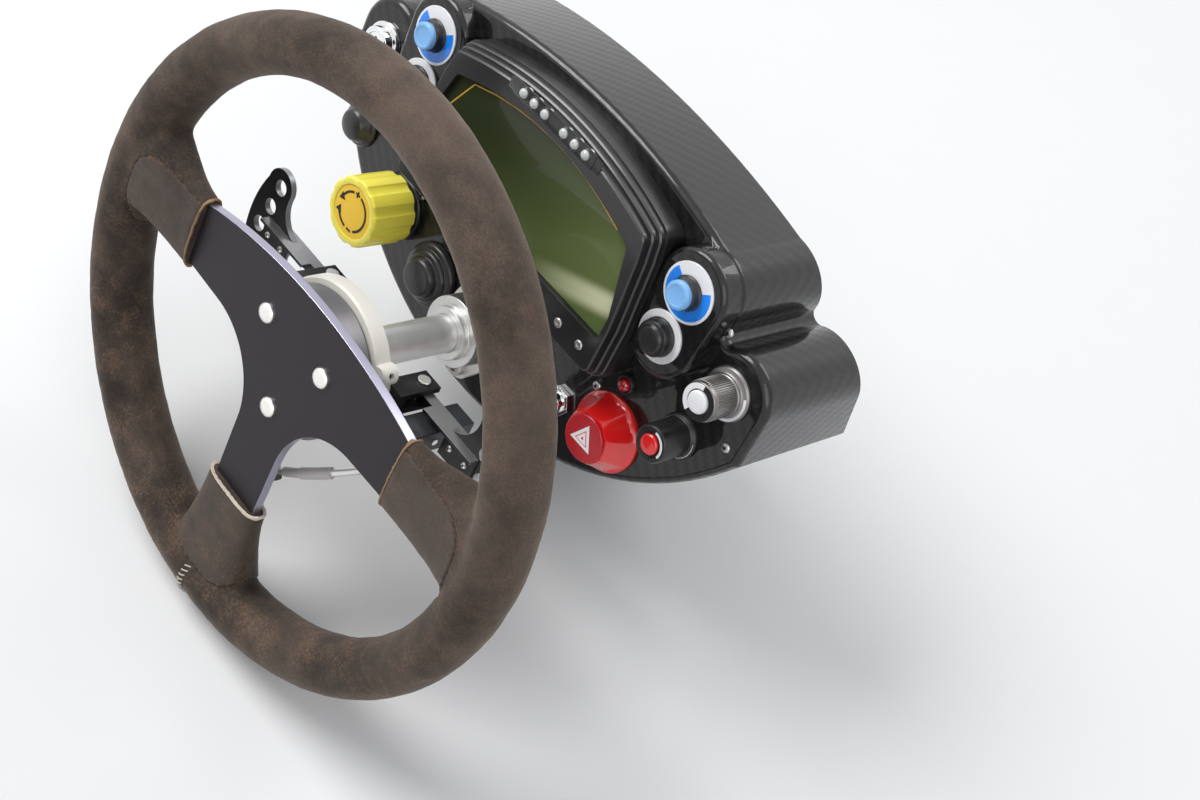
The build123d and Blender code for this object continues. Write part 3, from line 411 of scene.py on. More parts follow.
def make_materials(look):
    """Every material of the object, by its plain name."""
    GROUPS.update(finish=finish_group(), brushed=brushed_group(), suede=suede_group(),
                  weave=weave_group(), glass=glass_group())
    MATERIALS.update(
        suede=surface("suede", "suede", 0.6, 0.00035,
                      {"Sheen Weight": 0.22, "Sheen Roughness": 0.4,
                       "Sheen Tint": (0.8, 0.68, 0.58, 1), "Specular IOR Level": 0.35},
                      Dark=(*look.suede_dark, 1), Light=(*look.suede_light, 1),
                      Worn=(*look.suede_worn, 1), Cuff="cuff", Seam="seam"),
        raw_edge=hard("raw_leather_edge", (0.62, 0.54, 0.43), 0.9, 0.6, bump=0.7, grain=2600.0),
        tan_edge=hard("tan_leather_edge", (0.25, 0.155, 0.08), 0.85, 0.7, bump=0.7, grain=2600.0),
        thread=hard("stitching_thread", (0.46, 0.42, 0.38), 0.8, 0.4, bump=0.5, grain=5000.0),
        anodised=hard("black_anodised_plate", (0.0135, 0.0105, 0.0145), 0.46, 0.22, dust=0.03,
                      grain=4000.0, Specular_IOR_Level=0.3),
        plate_edge=hard("bright_plate_edge", (0.46, 0.45, 0.56), 0.3, 0.2, Metallic=0.85),
        worn_edge=hard("worn_alloy_edge", (0.34, 0.34, 0.35), 0.35, 0.3, Metallic=0.8),
        switch_box=hard("slate_moulding", (0.03, 0.034, 0.042), 0.42, 0.25, bump=0.25, dust=0.1),
        black_alloy=hard("black_alloy", (0.011, 0.011, 0.012), 0.36, 0.3, dust=0.1,
                         Metallic=0.4),
        bolt=metal("polished_bolt", (0.9, 0.88, 0.85), 0.3, 0.08, bump=0.03),
        spacer=metal("turned_grey_spacer", (0.2, 0.195, 0.2), 0.42, 0.15, 500.0),
        boss=hard("cream_boss", (0.82, 0.79, 0.72), 0.4, 0.12, 0.12, dust=0.03),
        tube=hard("zinc_tube", (0.82, 0.82, 0.8), 0.4, 0.2, 0.2, 0.2, patch=150.0,
                  Metallic=0.6),
        cast=metal("turned_bearing_alloy", (0.74, 0.74, 0.73), 0.34, 0.15, 500.0, 0.4),
        steel_black=hard("black_painted_steel", (0.02, 0.02, 0.022), 0.42, 0.3, dust=0.25),
        brass=metal("brass", (0.83, 0.52, 0.16), 0.24, 0.1),
        chrome=metal("chrome", (0.84, 0.85, 0.86), 0.08, 0.06, bump=0.03),
        ribbed=metal("ribbed_grey_alloy", (0.22, 0.21, 0.207), 0.4, 0.14, 1200.0, 0.2, bump=0.2),
        satin_silver=metal("turned_silver", (0.5, 0.475, 0.47), 0.36, 0.14, 1600.0, 0.2,
                           bump=0.25),
        carbon=surface("lacquered_carbon", "weave", 0.2, 0.0001,
                       {"Coat Weight": 1.0, "Coat Roughness": 0.03, "Coat IOR": 1.36,
                        "Specular IOR Level": 0.2}, True, Tow=460.0),
        case=hard("charcoal_moulding", (0.012, 0.0115, 0.0125), 0.3, 0.2, bump=0.25, dust=0.03,
                  grain=3500.0, Coat_Weight=0.3, Coat_Roughness=0.12),
        glass=surface("display_glass", "glass", 0.03, 0.00002,
                      {"Coat Weight": 0.35, "Coat Roughness": 0.03, "Specular IOR Level": 0.2},
                      True, Dark=(*look.screen, 1), Light=(*look.screen_light, 1)),
        gold=hard("gold_line", (0.62, 0.36, 0.03), 0.4),
        lens=hard("lamp_lens", (0.8, 0.82, 0.82), 0.05, 0.1, 0.03, 0.0,
                  Transmission_Weight=0.35, IOR=1.46, Coat_Weight=0.6),
        blue=hard("blue_print", look.blue, 0.28, 0.06, bump=0.05, Coat_Weight=0.4),
        light_blue=hard("light_blue_moulding", look.light_blue, 0.3, 0.06, bump=0.08),
        white=hard("white_print", (0.86, 0.86, 0.88), 0.3, 0.05, bump=0.05, Coat_Weight=0.4),
        grey=hard("pale_grey_sleeve", (0.5, 0.47, 0.47), 0.5, 0.15, bump=0.25, grain=1500.0),
        black_plastic=hard("satin_black_moulding", (0.012, 0.012, 0.013), 0.32, 0.25,
                           bump=0.2, dust=0.04),
        red=hard("red_moulding", look.red, 0.2, 0.06, 0.06, 0.04, Coat_Weight=0.6,
                 Coat_Roughness=0.05),
        dark_red=hard("dark_red_button", (0.46, 0.004, 0.012), 0.3, 0.06, 0.06, 0.04),
        yellow=hard("yellow_moulding", look.yellow, 0.26, 0.05, 0.06, 0.05, Coat_Weight=0.35,
                    Subsurface_Weight=0.1, Subsurface_Scale=0.002),
        deep_yellow=hard("deep_yellow_disc", look.deep_yellow, 0.36, 0.06, bump=0.12),
        mark=hard("black_mark", (0.006, 0.006, 0.006), 0.5),
        rubber=hard("black_rubber", (0.018, 0.017, 0.017), 0.3, 0.3, 0.15, 0.2, dust=0.08,
                    patch=90.0),
        jewel=hard("red_jewel_lens", (0.62, 0.0, 0.02), 0.06, 0.1, 0.03, 0.0,
                   Transmission_Weight=0.4, Coat_Weight=1.0),
    )


# Mesh tools
SHARP_EDGE = math.radians(28)  # between two faces, where their edge gets a bevel


def placed(name, data):
    """A new object in the scene."""
    made = bpy.data.objects.new(name, data)
    bpy.context.scene.collection.objects.link(made)
    return made


def mesh_from(name, bm):
    """A mesh made from a bmesh, which is freed."""
    mesh = bpy.data.meshes.new(name)
    bm.to_mesh(mesh)
    bm.free()
    return mesh


def piece(name, bm, body, slot, *materials, replaces=None, sharp=35.0):
    """Finish a bmesh as a piece of the object: placed, shaded, and riding on its body."""
    bmesh.ops.remove_doubles(bm, verts=bm.verts, dist=0.0005)
    bmesh.ops.recalc_face_normals(bm, faces=bm.faces)
    bm.transform(WHEEL)
    mesh = mesh_from(name, bm)
    mesh.shade_smooth()
    mesh.set_sharp_from_angle(angle=math.radians(sharp))
    for material in materials:
        mesh.materials.append(MATERIALS[material])
    made = placed(name, mesh)
    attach(made, body)
    if replaces:
        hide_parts(replaces)
    return made


def stand_in(name, bm, node_name, *materials):
    """Finish a bmesh as the piece that stands for a CAD node, on its body."""
    slot = next(part["material_slot"] for part in frame["record"]["subparts"]
                if part["node"] == node_name)
    return piece(name, bm, frame["nodes"][node_name]["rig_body"], slot, *materials,
                 replaces=node_name)


def soften(bm, width, segments=2):
    """Bevel the sharp edges."""
    sharp = [e for e in bm.edges if e.is_manifold and e.calc_face_angle(0) > SHARP_EDGE]
    bmesh.ops.bevel(bm, geom=sharp, offset=width, offset_type="OFFSET", segments=segments,
                    profile=0.5, affect="EDGES", clamp_overlap=True, material=-1)


def dressed(node_name, bevel, *materials):
    """A CAD node's form with its faces made whole and its edges rounded.

    A second material goes to the faces that don't look along the column.
    """
    bm = merged_node(node_name)
    bmesh.ops.dissolve_limit(bm, angle_limit=math.radians(0.6), use_dissolve_boundaries=False,
                             verts=bm.verts, edges=bm.edges, delimit={"NORMAL"})
    if bevel:
        soften(bm, bevel)
    if len(materials) > 1:
        for face in bm.faces:
            face.material_index = int(abs(face.normal.z) < 0.9)
    made = stand_in(node_name + "_dressed", bm, node_name, *materials)
    made.modifiers.new("Even shading", "WEIGHTED_NORMAL").keep_sharp = True


def polar(radius, degrees, z=0.0):
    """A point by its radius and angle about the column."""
    turn = math.radians(degrees)
    return Vector((radius * math.cos(turn), radius * math.sin(turn), z))


def turned(bm, x, y, seat, profile, segments):
    """Spin a profile of (radius, height above the seat) round the column's direction."""
    line = [bm.verts.new((x + radius, y, seat + height)) for radius, height in profile]
    edges = [bm.edges.new(pair) for pair in zip(line, line[1:])]
    bmesh.ops.spin(bm, geom=line + edges, cent=(x, y, 0), axis=(0, 0, 1), angle=math.tau,
                   steps=segments, use_merge=True)


def turned_node(name, node_name, seat, material, bevel, segments=64):
    """The turned piece that stands for a CAD node, with a stem as deep as the node's own."""
    places, profile = spots(node_name), PROFILES[node_name]
    depth = seat - places[0].foot
    foot = ((0, 0),)
    if depth > 1:
        stem_r = min(profile[0][0], 4)
        foot = ((0, -depth), (stem_r, -depth), (stem_r, 0))
    bm = bmesh.new()
    for place in places:
        turned(bm, place.x, place.y, seat, foot + profile, segments)
    bmesh.ops.remove_doubles(bm, verts=bm.verts, dist=0.001)
    if bevel:
        soften(bm, bevel, 3)
    stand_in(name, bm, node_name, material)


def paint(bm, before, index):
    """Give the faces that weren't there before a material index."""
    for face in set(bm.faces) - before:
        face.material_index = index


def upright(centre, turn):
    """Turn by degrees about the column's direction, then move to a point."""
    return Matrix.Translation(centre) @ Matrix.Rotation(math.radians(turn), 4, "Z")


def block(bm, centre, size, turn=0.0, index=0):
    """A block about a point, turned by degrees about the column's direction."""
    before = set(bm.faces)
    bmesh.ops.create_cube(bm, size=1, matrix=upright(centre, turn) @ Matrix.Diagonal((*size, 1)))
    paint(bm, before, index)


def prism(bm, foot, sides, radius, turn, thick, index=0):
    """A prism on a point, turned by degrees about the column's direction."""
    before = set(bm.faces)
    bmesh.ops.create_cone(bm, cap_ends=True, segments=sides, radius1=radius, radius2=radius,
                          depth=thick,
                          matrix=upright(Vector(foot) + Vector((0, 0, thick / 2)), turn))
    paint(bm, before, index)


def sweep(bm, centre, section, start, turn, index=0, steps=0):
    """A section of (radius, height) points swept round the column's direction by degrees."""
    before = set(bm.faces)
    loop = [bm.verts.new(Vector(centre) + polar(radius, start, height))
            for radius, height in section]
    full = turn >= 360
    if full:
        geometry = loop + [bm.edges.new(pair) for pair in zip(loop, loop[1:] + loop[:1])]
    else:
        face = bm.faces.new(loop)
        geometry = loop + face.edges[:] + [face]
    bmesh.ops.spin(bm, geom=geometry, cent=centre, axis=(0, 0, 1), angle=math.radians(turn),
                   steps=steps or max(6, int(turn / 5)), use_merge=full)
    paint(bm, before, index)


def flat_ring(bm, foot, inner, outer, thick, start=0.0, turn=360.0, index=0):
    """A flat ring or part of one, with its edges broken a little."""
    edge = min(0.15, thick * 0.4)
    section = ((inner, 0), (outer, 0), (outer, thick - edge), (outer - edge, thick),
               (inner + edge, thick), (inner, thick - edge))
    sweep(bm, foot, section, start, turn, index)


def rod(bm, start, end, radius, segments):
    """A round bar between two points."""
    start, end = Vector(start), Vector(end)
    run = end - start
    turn = Vector((0, 0, 1)).rotation_difference(run).to_matrix().to_4x4()
    bmesh.ops.create_cone(bm, cap_ends=True, segments=segments, radius1=radius, radius2=radius,
                          depth=run.length, matrix=Matrix.Translation((start + end) / 2) @ turn)


def dome(bm, x, y, z, radius, height, straight=0.2, steps=10, segments=40):
    """A head on a point: upright for a share of its height, and domed above."""
    foot = height * straight
    profile = [(0, 0), (radius, 0), (radius, foot)]
    for step in range(1, steps):
        rise = math.radians(90 * step / steps)
        profile.append((radius * math.cos(rise), foot + (height - foot) * math.sin(rise)))
    turned(bm, x, y, z, profile + [(0, height)], segments)


def dome_screw(bm, x, y, z, radius, height):
    """A domed screw head whose hexagon socket is a flat black hexagon on top, painted shade; index
    1 is that hexagon.
    """
    dome(bm, x, y, z, radius, height)
    prism(bm, (x, y, z + height - 0.15), 6, radius * 0.4, 10, 0.2, 1)


def ring(x, y, z, radii):
    """Points round a centre, evenly by angle, one for each radius."""
    turns = (math.tau * k / len(radii) for k in range(len(radii)))
    return [(x + radius * math.cos(turn), y + radius * math.sin(turn), z)
            for radius, turn in zip(radii, turns)]


def skin(bm, rings, closed=False):
    """Bridge rings of points, and cap both ends unless the last ring meets the first."""
    loops = []
    for points in rings:
        verts = [bm.verts.new(point) for point in points]
        loops.append([bm.edges.new(pair) for pair in zip(verts, verts[1:] + verts[:1])])
    for first, second in zip(loops, loops[1:] + loops[:1] if closed else loops[1:]):
        bmesh.ops.bridge_loops(bm, edges=first + second)
    if not closed:
        bmesh.ops.edgeloop_fill(bm, edges=loops[0] + loops[-1])


def tube_along(bm, points, radius, segments):
    """A round cord through points, flat at both ends."""
    rings, side = [], None
    for i, point in enumerate(points):
        run = Vector(points[min(i + 1, len(points) - 1)]) - Vector(points[max(i - 1, 0)])
        run.normalize()
        side = side - run * side.dot(run) if rings else run.orthogonal()
        side.normalize()
        across = run.cross(side)
        turns = (math.tau * k / segments for k in range(segments))
        rings.append([Vector(point) + radius * (side * math.cos(turn) + across * math.sin(turn))
                      for turn in turns])
    skin(bm, rings)


def smooth_line(points, steps=12):
    """A smooth line through given points."""
    points = [Vector(point) for point in points]
    ends = [2 * points[0] - points[1]] + points + [2 * points[-1] - points[-2]]
    line = []
    for a, b, c, d in zip(ends, ends[1:], ends[2:], ends[3:]):
        for step in range(steps):
            t = step / steps
            line.append(0.5 * (2 * b + (c - a) * t + (2 * a - 5 * b + 4 * c - d) * t ** 2
                               + (3 * b - a - 3 * c + d) * t ** 3))
    return line + [points[-1]]


# The grip
# Outward direction, direction across, and which row of cuff_sections, of the three cuffs
CUFFS = ((Vector((1, 0, 0)), Vector((0, 1, 0)), 0), (Vector((-1, 0, 0)), Vector((0, 1, 0)), 0),
         (Vector((0, -1, 0)), Vector((1, 0, 0)), 1))
CUFF_STEPS = 12  # sections of a cuff from its mouth to the ring
CUFF_FLARE = 0.38  # growth of a cuff's width from its mouth to the ring
CUFF_FOOT = 0.86  # thickness of a cuff at the ring, as a share of the grip's
CUFF_SQUARE = 3.2  # exponent of a cuff's outline: 2 is an oval, more is squarer
VOXEL = 1.35  # of the remesh that joins the cuffs to the ring
FILLET = (112, 136)  # from the axis, where the cuffs run into the ring
SEAM_BAND = 2.6  # each side of a seam, where the mesh is finer
SEAM_DEPTH, SEAM_WIDTH, SEAM_WANDER = 0.7, 0.5, 0.5
SEAM_BLUR, SEAM_LINE = 0.3, 0.42  # of the change of leather, and of the dark line
BROAD_LUMPS, SMALL_LUMPS = (0.07, 0.3), (0.21, 0.14)  # waves to the millimetre, and height
PUCKER, PUCKERS, PUCKER_REACH = 0.2, 38, 2.2  # gathers of the suede beside a seam
LIP, LIP_REACH = 0.5, 6  # how far a cuff's leather stands up at its seam
EDGE_WALLS = (0.8, 1.3)  # cut edge of a side cuff and of the lower cuff
EDGE_CURL, EDGE_RAGGED = 1.1, 0.35
STITCH_R, STITCH_LENGTH, STITCH_SLANT = 0.42, 3.7, math.radians(7.5)
STITCH_LIFT = (0.25, 0.75)  # at a stitch's ends, and more in its middle
STITCH_START, STITCH_SPAN, STITCH_TURN = -30, 168, math.radians(-91.1)


def grip_sizes(look):
    """Half width and half thickness of the grip, and the radius of its middle."""
    half_w = look.grip_width / MM / 2
    return half_w, look.grip_thickness / MM / 2, (RIM_HIGH.x - RIM_LOW.x) / MM / 2 - half_w


def cuff_outline(width, thick, count):
    """Points round a rounded rectangle, evenly by angle."""
    points = []
    for k in range(count):
        turn = math.tau * k / count
        c, s = math.cos(turn), math.sin(turn)
        size = abs(c / (width / 2)) ** CUFF_SQUARE + abs(s / (thick / 2)) ** CUFF_SQUARE
        reach = size ** (-1 / CUFF_SQUARE)
        points.append((c * reach, s * reach))
    return points


def cuff_sections(look):
    """Rows of (distance, shift, depth, width, thickness) of the side cuff and the lower cuff."""
    plate = spots("spoke_plate")[0]
    ring_r = grip_sizes(look)[2]
    start, mouth_w = look.cuff_start / MM, look.cuff_width / MM
    mouth_t = plate.top - plate.foot + 2 * look.cuff_wall / MM
    foot_t = look.grip_thickness / MM * CUFF_FOOT
    middle = (plate.foot + plate.top) / 2
    rows = []
    for shift, rise in ((look.cuff_middle / MM, look.cuff_rise / MM), (0.0, 0.0)):
        row = []
        for step in range(CUFF_STEPS + 1):
            t = step / CUFF_STEPS
            smooth = t * t * (3 - 2 * t)
            row.append((start + t * (ring_r - start), shift + rise * smooth,
                        middle * (1 - smooth), mouth_w * (1 + CUFF_FLARE * smooth ** 1.3),
                        mouth_t + (foot_t - mouth_t) * smooth))
        rows.append(row)
    return rows


def remeshed(bm):
    """The bmesh after a voxel remesh, which joins what overlaps."""
    bmesh.ops.recalc_face_normals(bm, faces=bm.faces)
    mesh = mesh_from("grip_raw", bm)
    raw = placed("grip_raw", mesh)
    modifier = raw.modifiers.new("Join", "REMESH")
    modifier.mode = "VOXEL"
    modifier.voxel_size = VOXEL
    made = bmesh.new()
    made.from_object(raw, bpy.context.evaluated_depsgraph_get())
    bpy.data.objects.remove(raw)
    bpy.data.meshes.remove(mesh)
    return made


def seam_gap(point, look):
    """Distance from a point to the nearest seam, below nought inside it, and its place on it.

    A seam is a squared-off arc across the grip: flat along it and turning in at its ends.
    """
    reach = look.seam_reach / MM
    gaps = []
    for out, across, which in CUFFS:
        if point.dot(out) > 0:
            shift = 0.0 if which else look.seam_shift / MM
            along = max(point.dot(out) - look.seam_centre / MM, 0.0) / reach
            side = (point.dot(across) - shift) / (look.seam_half_width / MM)
            gaps.append((((along ** 3 + abs(side) ** 3) ** (1 / 3) - 1) * reach, side))
    return min(gaps, default=(99.0, 0.0))


def grip(look):
    """The grip and its three cuffs as one skin with sewn seams."""
    half_w, half_t, ring_r = grip_sizes(look)
    bm = bmesh.new()
    turns = [math.tau * k / 48 for k in range(48)]
    oval = [(ring_r + half_w * math.cos(turn), half_t * math.sin(turn)) for turn in turns]
    sweep(bm, (0, 0, 0), oval, 0, 360, steps=240)
    sections = cuff_sections(look)
    for out, across, which in CUFFS:
        rings = []
        for distance, shift, depth, width, thick in sections[which]:
            origin = out * distance + across * shift + Vector((0, 0, depth))
            rings.append([origin + across * a + Vector((0, 0, b))
                          for a, b in cuff_outline(width, thick, 64)])
        skin(bm, rings)
    bm = remeshed(bm)
    near = [v for v in bm.verts if FILLET[0] < v.co.xy.length < FILLET[1]]
    for times, verts in ((7, near), (2, bm.verts)):
        for _ in range(times):
            bmesh.ops.smooth_vert(bm, verts=verts, factor=0.5, use_axis_x=True,
                                  use_axis_y=True, use_axis_z=True)
    band = [e for e in bm.edges
            if all(abs(seam_gap(v.co, look)[0]) < SEAM_BAND for v in e.verts)]
    bmesh.ops.subdivide_edges(bm, edges=band, cuts=2, use_grid_fill=True)
    bm.normal_update()
    cuff = bm.verts.layers.float.new("cuff")
    seam = bm.verts.layers.float.new("seam")
    moves = []
    for vert in bm.verts:
        gap, side = seam_gap(vert.co, look)
        gap += SEAM_WANDER * noise_at(vert.co * 0.35)
        inside = 1 / (1 + math.exp(min(gap / SEAM_BLUR, 50)))
        vert[cuff], vert[seam] = inside, math.exp(-(gap / SEAM_LINE) ** 2)
        lumps = noise_at(vert.co * BROAD_LUMPS[0]) * BROAD_LUMPS[1]
        lumps += noise_at(vert.co * SMALL_LUMPS[0] + Vector((7, 3, 1))) * SMALL_LUMPS[1]
        pucker = PUCKER * math.sin(side * PUCKERS) * math.exp(-abs(gap) / PUCKER_REACH)
        groove = SEAM_DEPTH * math.exp(-(gap / SEAM_WIDTH) ** 2)
        lip = LIP * inside * math.exp(-abs(gap) / LIP_REACH)
        moves.append((vert, vert.normal * (lumps + pucker - groove + lip)))
    for vert, move in moves:
        vert.co += move
    piece("suede_grip", bm, "wheel", "suede", "suede", replaces="rim", sharp=60)


def cuff_edges(look):
    """The cut leather edge at each cuff's mouth, ragged and curled up at its corners."""
    bm = bmesh.new()
    sections = cuff_sections(look)
    for out, across, which in CUFFS:
        before = set(bm.faces)
        distance, shift, depth, width, thick = sections[which][0]
        wall = EDGE_WALLS[which]
        outer = cuff_outline(width + 0.3, thick + 0.3, 144)
        inner = cuff_outline(width - 2 * wall, thick - 2 * wall, 144)
        rings = []
        for points, run in ((outer, 0.5), (outer, -0.2), (inner, -0.2), (inner, 0.5)):
            rings.append([])
            for a, b in points:
                curl = EDGE_CURL * abs(a / (width / 2)) ** 10 if run < 0 < b else 0.0
                origin = out * (distance + run - curl) + across * shift + Vector((0, 0, depth))
                spot = origin + across * a + Vector((0, 0, b + 0.4 * curl))
                rings[-1].append(spot + out * EDGE_RAGGED * noise_at(spot * 0.6))
        skin(bm, rings, closed=True)
        paint(bm, before, 0 if which else 1)
    piece("cuff_cut_edges", bm, "wheel", "suede", "raw_edge", "tan_edge", sharp=50)


def stitches(look):
    """Slanted stitches that close the leather across the foot of the grip."""
    half_w, half_t, ring_r = grip_sizes(look)
    bm = bmesh.new()
    for k in range(look.stitch_count):
        middle = math.radians(STITCH_START + STITCH_SPAN * (k + 0.5) / look.stitch_count)
        line = []
        for step in range(9):
            t = step / 8 - 0.5
            turn = STITCH_TURN + t * STITCH_LENGTH / ring_r
            tilt = middle + t * STITCH_SLANT
            lift = STITCH_LIFT[0] + STITCH_LIFT[1] * math.cos(t * math.pi)
            radius = ring_r + (half_w + lift) * math.cos(tilt)
            line.append((radius * math.cos(turn), radius * math.sin(turn),
                         (half_t + lift) * math.sin(tilt)))
        tube_along(bm, line, STITCH_R, 10)
    piece("foot_stitches", bm, "wheel", "suede", "thread", sharp=60)


# The spokes and the hub
SHANK_R = 3  # of the wheel's bolts and the bearing's
SET_SCREW = (39.5, 41.2, 1.4)  # inner end, outer end and radius, on the boss's edge
SET_SCREW_TURN = 30
PADDLE_SCREWS = (70, 81)  # out from the axis
PADDLE_SCREW_Y, PADDLE_SCREW_SINK = 3.2, 3.9
PADDLE_SCREW = (1.6, 1.1)  # radius and height of its head, as below
CARRIER_HEADS = ((-40.8, "bolt"), (40.8, "brass"))
CARRIER_HEAD_Y, CARRIER_HEAD = 8, (2, 1.4)
SWITCH_SCREWS = (0.28, 0.62)  # shares of the switch's depth
SWITCH_SCREW_R, SWITCH_SCREW_ENDS = 1.6, (-0.4, 0.6)  # the ends are from the switch's side
# Below the switch, round the boss and along the lower spoke, from the photograph
LEAD_START = (53.6, -34)  # x and z on the switch's underside
LEAD_ROUTE = ((53.2, -14, -33), (49, -25.5, -27), (40, -36, -19.5), (29, -46.3, -13),
              (17, -57, -10), (5, -66.5, -9))
LEAD_R, SPLICE_R, SLEEVE_R = 1.8, 2.9, 2.35
SPLICE_START, SPLICE_STEPS = 0.63, 14  # share of the lead's points, and how many it covers
PLUG_PLACE, PLUG_SIZE, PLUG_TURN = (1, -70, -4.7), (13, 10, 13.6), 42


def shank(foot):
    """The start of a bolt's profile: its shank, from its foot up to its seat."""
    return ((0, foot), (SHANK_R, foot), (SHANK_R, 0))


def spokes(look):
    """The spoke plate with its bright edges, and the wheel's three bolts."""
    dressed("spoke_plate", look.plate_bevel / MM, "anodised", "plate_edge")
    seat = spots("spoke_plate")[0].top
    bm = bmesh.new()
    for x, y, radius, foot, top in spots("wheel_bolts"):
        turned(bm, x, y, seat, shank(foot - seat) + ((0, 0),), 32)
        dome(bm, x, y, seat, radius, top - seat, segments=56)
    piece("domed_bolts", bm, "wheel", "chrome", "bolt", replaces="wheel_bolts")


def hub():
    """The spacer, the cream boss with its set screw, the tube, the carrier and its pins."""
    for node_name, bevel, material in (
            ("hub_spacer", 0.5, "spacer"), ("hub_boss", 0.5, "boss"),
            ("column_shaft", 0.4, "tube"), ("paddle_carrier", 0.7, "black_alloy"),
            ("paddle_pins", 0.3, "bolt")):
        dressed(node_name, bevel, material)
    boss = spots("hub_boss")[0]
    middle = (boss.foot + boss.top) / 2
    inner, outer, radius = SET_SCREW
    bm = bmesh.new()
    rod(bm, polar(inner, SET_SCREW_TURN, middle), polar(outer, SET_SCREW_TURN, middle), radius, 24)
    piece("boss_set_screw", bm, "wheel", "boss_cream", "mark")


def paddles():
    """Both paddles with their fasteners, and the heads on their carrier."""
    for side, name in ((-1, "paddle_left"), (1, "paddle_right")):
        dressed(name, 0.4, "black_alloy", "worn_edge")
        seat = spots(name)[0].top - PADDLE_SCREW_SINK
        bm = bmesh.new()
        for x in PADDLE_SCREWS:
            dome_screw(bm, side * x, PADDLE_SCREW_Y, seat, *PADDLE_SCREW)
        piece(name + "_screws", bm, name, "black_anodised", "bolt", "mark")
    seat = spots("paddle_carrier")[0].top
    for x, material in CARRIER_HEADS:
        bm = bmesh.new()
        dome(bm, x, CARRIER_HEAD_Y, seat, *CARRIER_HEAD)
        piece("carrier_head_" + material, bm, "wheel", "black_anodised", material)


def paddle_switch():
    """The switch that the right paddle presses, its screws, and its lead with splice and plug."""
    dressed("paddle_switch", 0.6, "switch_box")
    low, high = solids("paddle_switch")[0]
    bm = bmesh.new()
    for share in SWITCH_SCREWS:
        head = Vector((high.x, (low.y + high.y) / 2, low.z + (high.z - low.z) * share))
        start, end = (head + ACROSS * reach for reach in SWITCH_SCREW_ENDS)
        rod(bm, start, end, SWITCH_SCREW_R, 20)
    piece("switch_screws", bm, "wheel", "black_plastic", "bolt")
    x, z = LEAD_START
    route = smooth_line(((x, low.y + 0.6, z), *LEAD_ROUTE))
    bm = bmesh.new()
    tube_along(bm, route, LEAD_R, 20)
    piece("switch_lead", bm, "wheel", "zinc_steel", "tube", sharp=60)
    start = int(len(route) * SPLICE_START)
    end = start + SPLICE_STEPS
    bm = bmesh.new()
    tube_along(bm, route[start:end], SPLICE_R, 24)
    tube_along(bm, route[end - 1:-5], SLEEVE_R, 24)
    piece("lead_splice", bm, "wheel", "black_plastic", "grey", sharp=60)
    bm = bmesh.new()
    block(bm, PLUG_PLACE, PLUG_SIZE, PLUG_TURN)
    soften(bm, 1.4, 3)
    rod(bm, route[0], (x, low.y - 3.5, z), SPLICE_R, 24)
    piece("lead_plug", bm, "wheel", "black_plastic", "black_plastic")


# The column's support
CAP_SCREW_SINK = 4.4  # a cap screw's seat, below its node's top
CAP_SCREW_SOCKET = ((2.6, 3.6), (2.4, 1.8), (0, 1.7))  # radius, and height above the seat


def column():
    """The bearing housing, its bolts, the sleeve, the lower bearing, the plate and the stays."""
    dressed("column_bearing", 0.9, "cast")
    bm = bmesh.new()
    for x, y, head, foot, top in spots("bearing_bolts"):
        seat = top - CAP_SCREW_SINK
        outside = ((head, 0), (head, 3), (head - 0.5, 3.6))
        turned(bm, x, y, seat, shank(foot - seat) + outside + CAP_SCREW_SOCKET, 40)
        # the hexagon socket is a black hexagon on the recess's floor: painted shade
        prism(bm, (x, y, seat + 1.75), 6, 2.2, 0, 0.1, 1)
    piece("bearing_cap_screws", bm, "pod", "zinc_steel", "satin_silver", "mark",
          replaces="bearing_bolts")
    for node_name, bevel, material in (
            ("column_sleeve", 0.5, "steel_black"), ("lower_bearing", 0.4, "satin_silver"),
            ("bulkhead_plate", 0.8, "steel_black"), ("pod_stays", 0.3, "steel_black")):
        dressed(node_name, bevel, material)


# The pod
FACE_SCREWS = ((118, 98), (146, 54), (72, 24))  # on the right; the left mirrors them
FACE_SCREW = (2.4, 1.4)
GOLD_LINE_XS = (-54, -40, -27, -13, 0, 13, 27, 40, 54)
GOLD_LINE_R, GOLD_LINE_INSET, GOLD_LINE_SAG, GOLD_LINE_LIFT = 0.42, 1.4, 17.5, 0.06
GOLD_LINE_START = (1.6, 15)  # in from the glass's left edge, and up from its foot
# Reach past the last lamp, width and rise of the lamp bar's two steps
LAMP_BAR = ((10.5, 6.6, 0.35), (6, 7.6, 0.75))
LAMP_ROUND = 0.85  # the domed part of a lamp's height, as a share of its radius

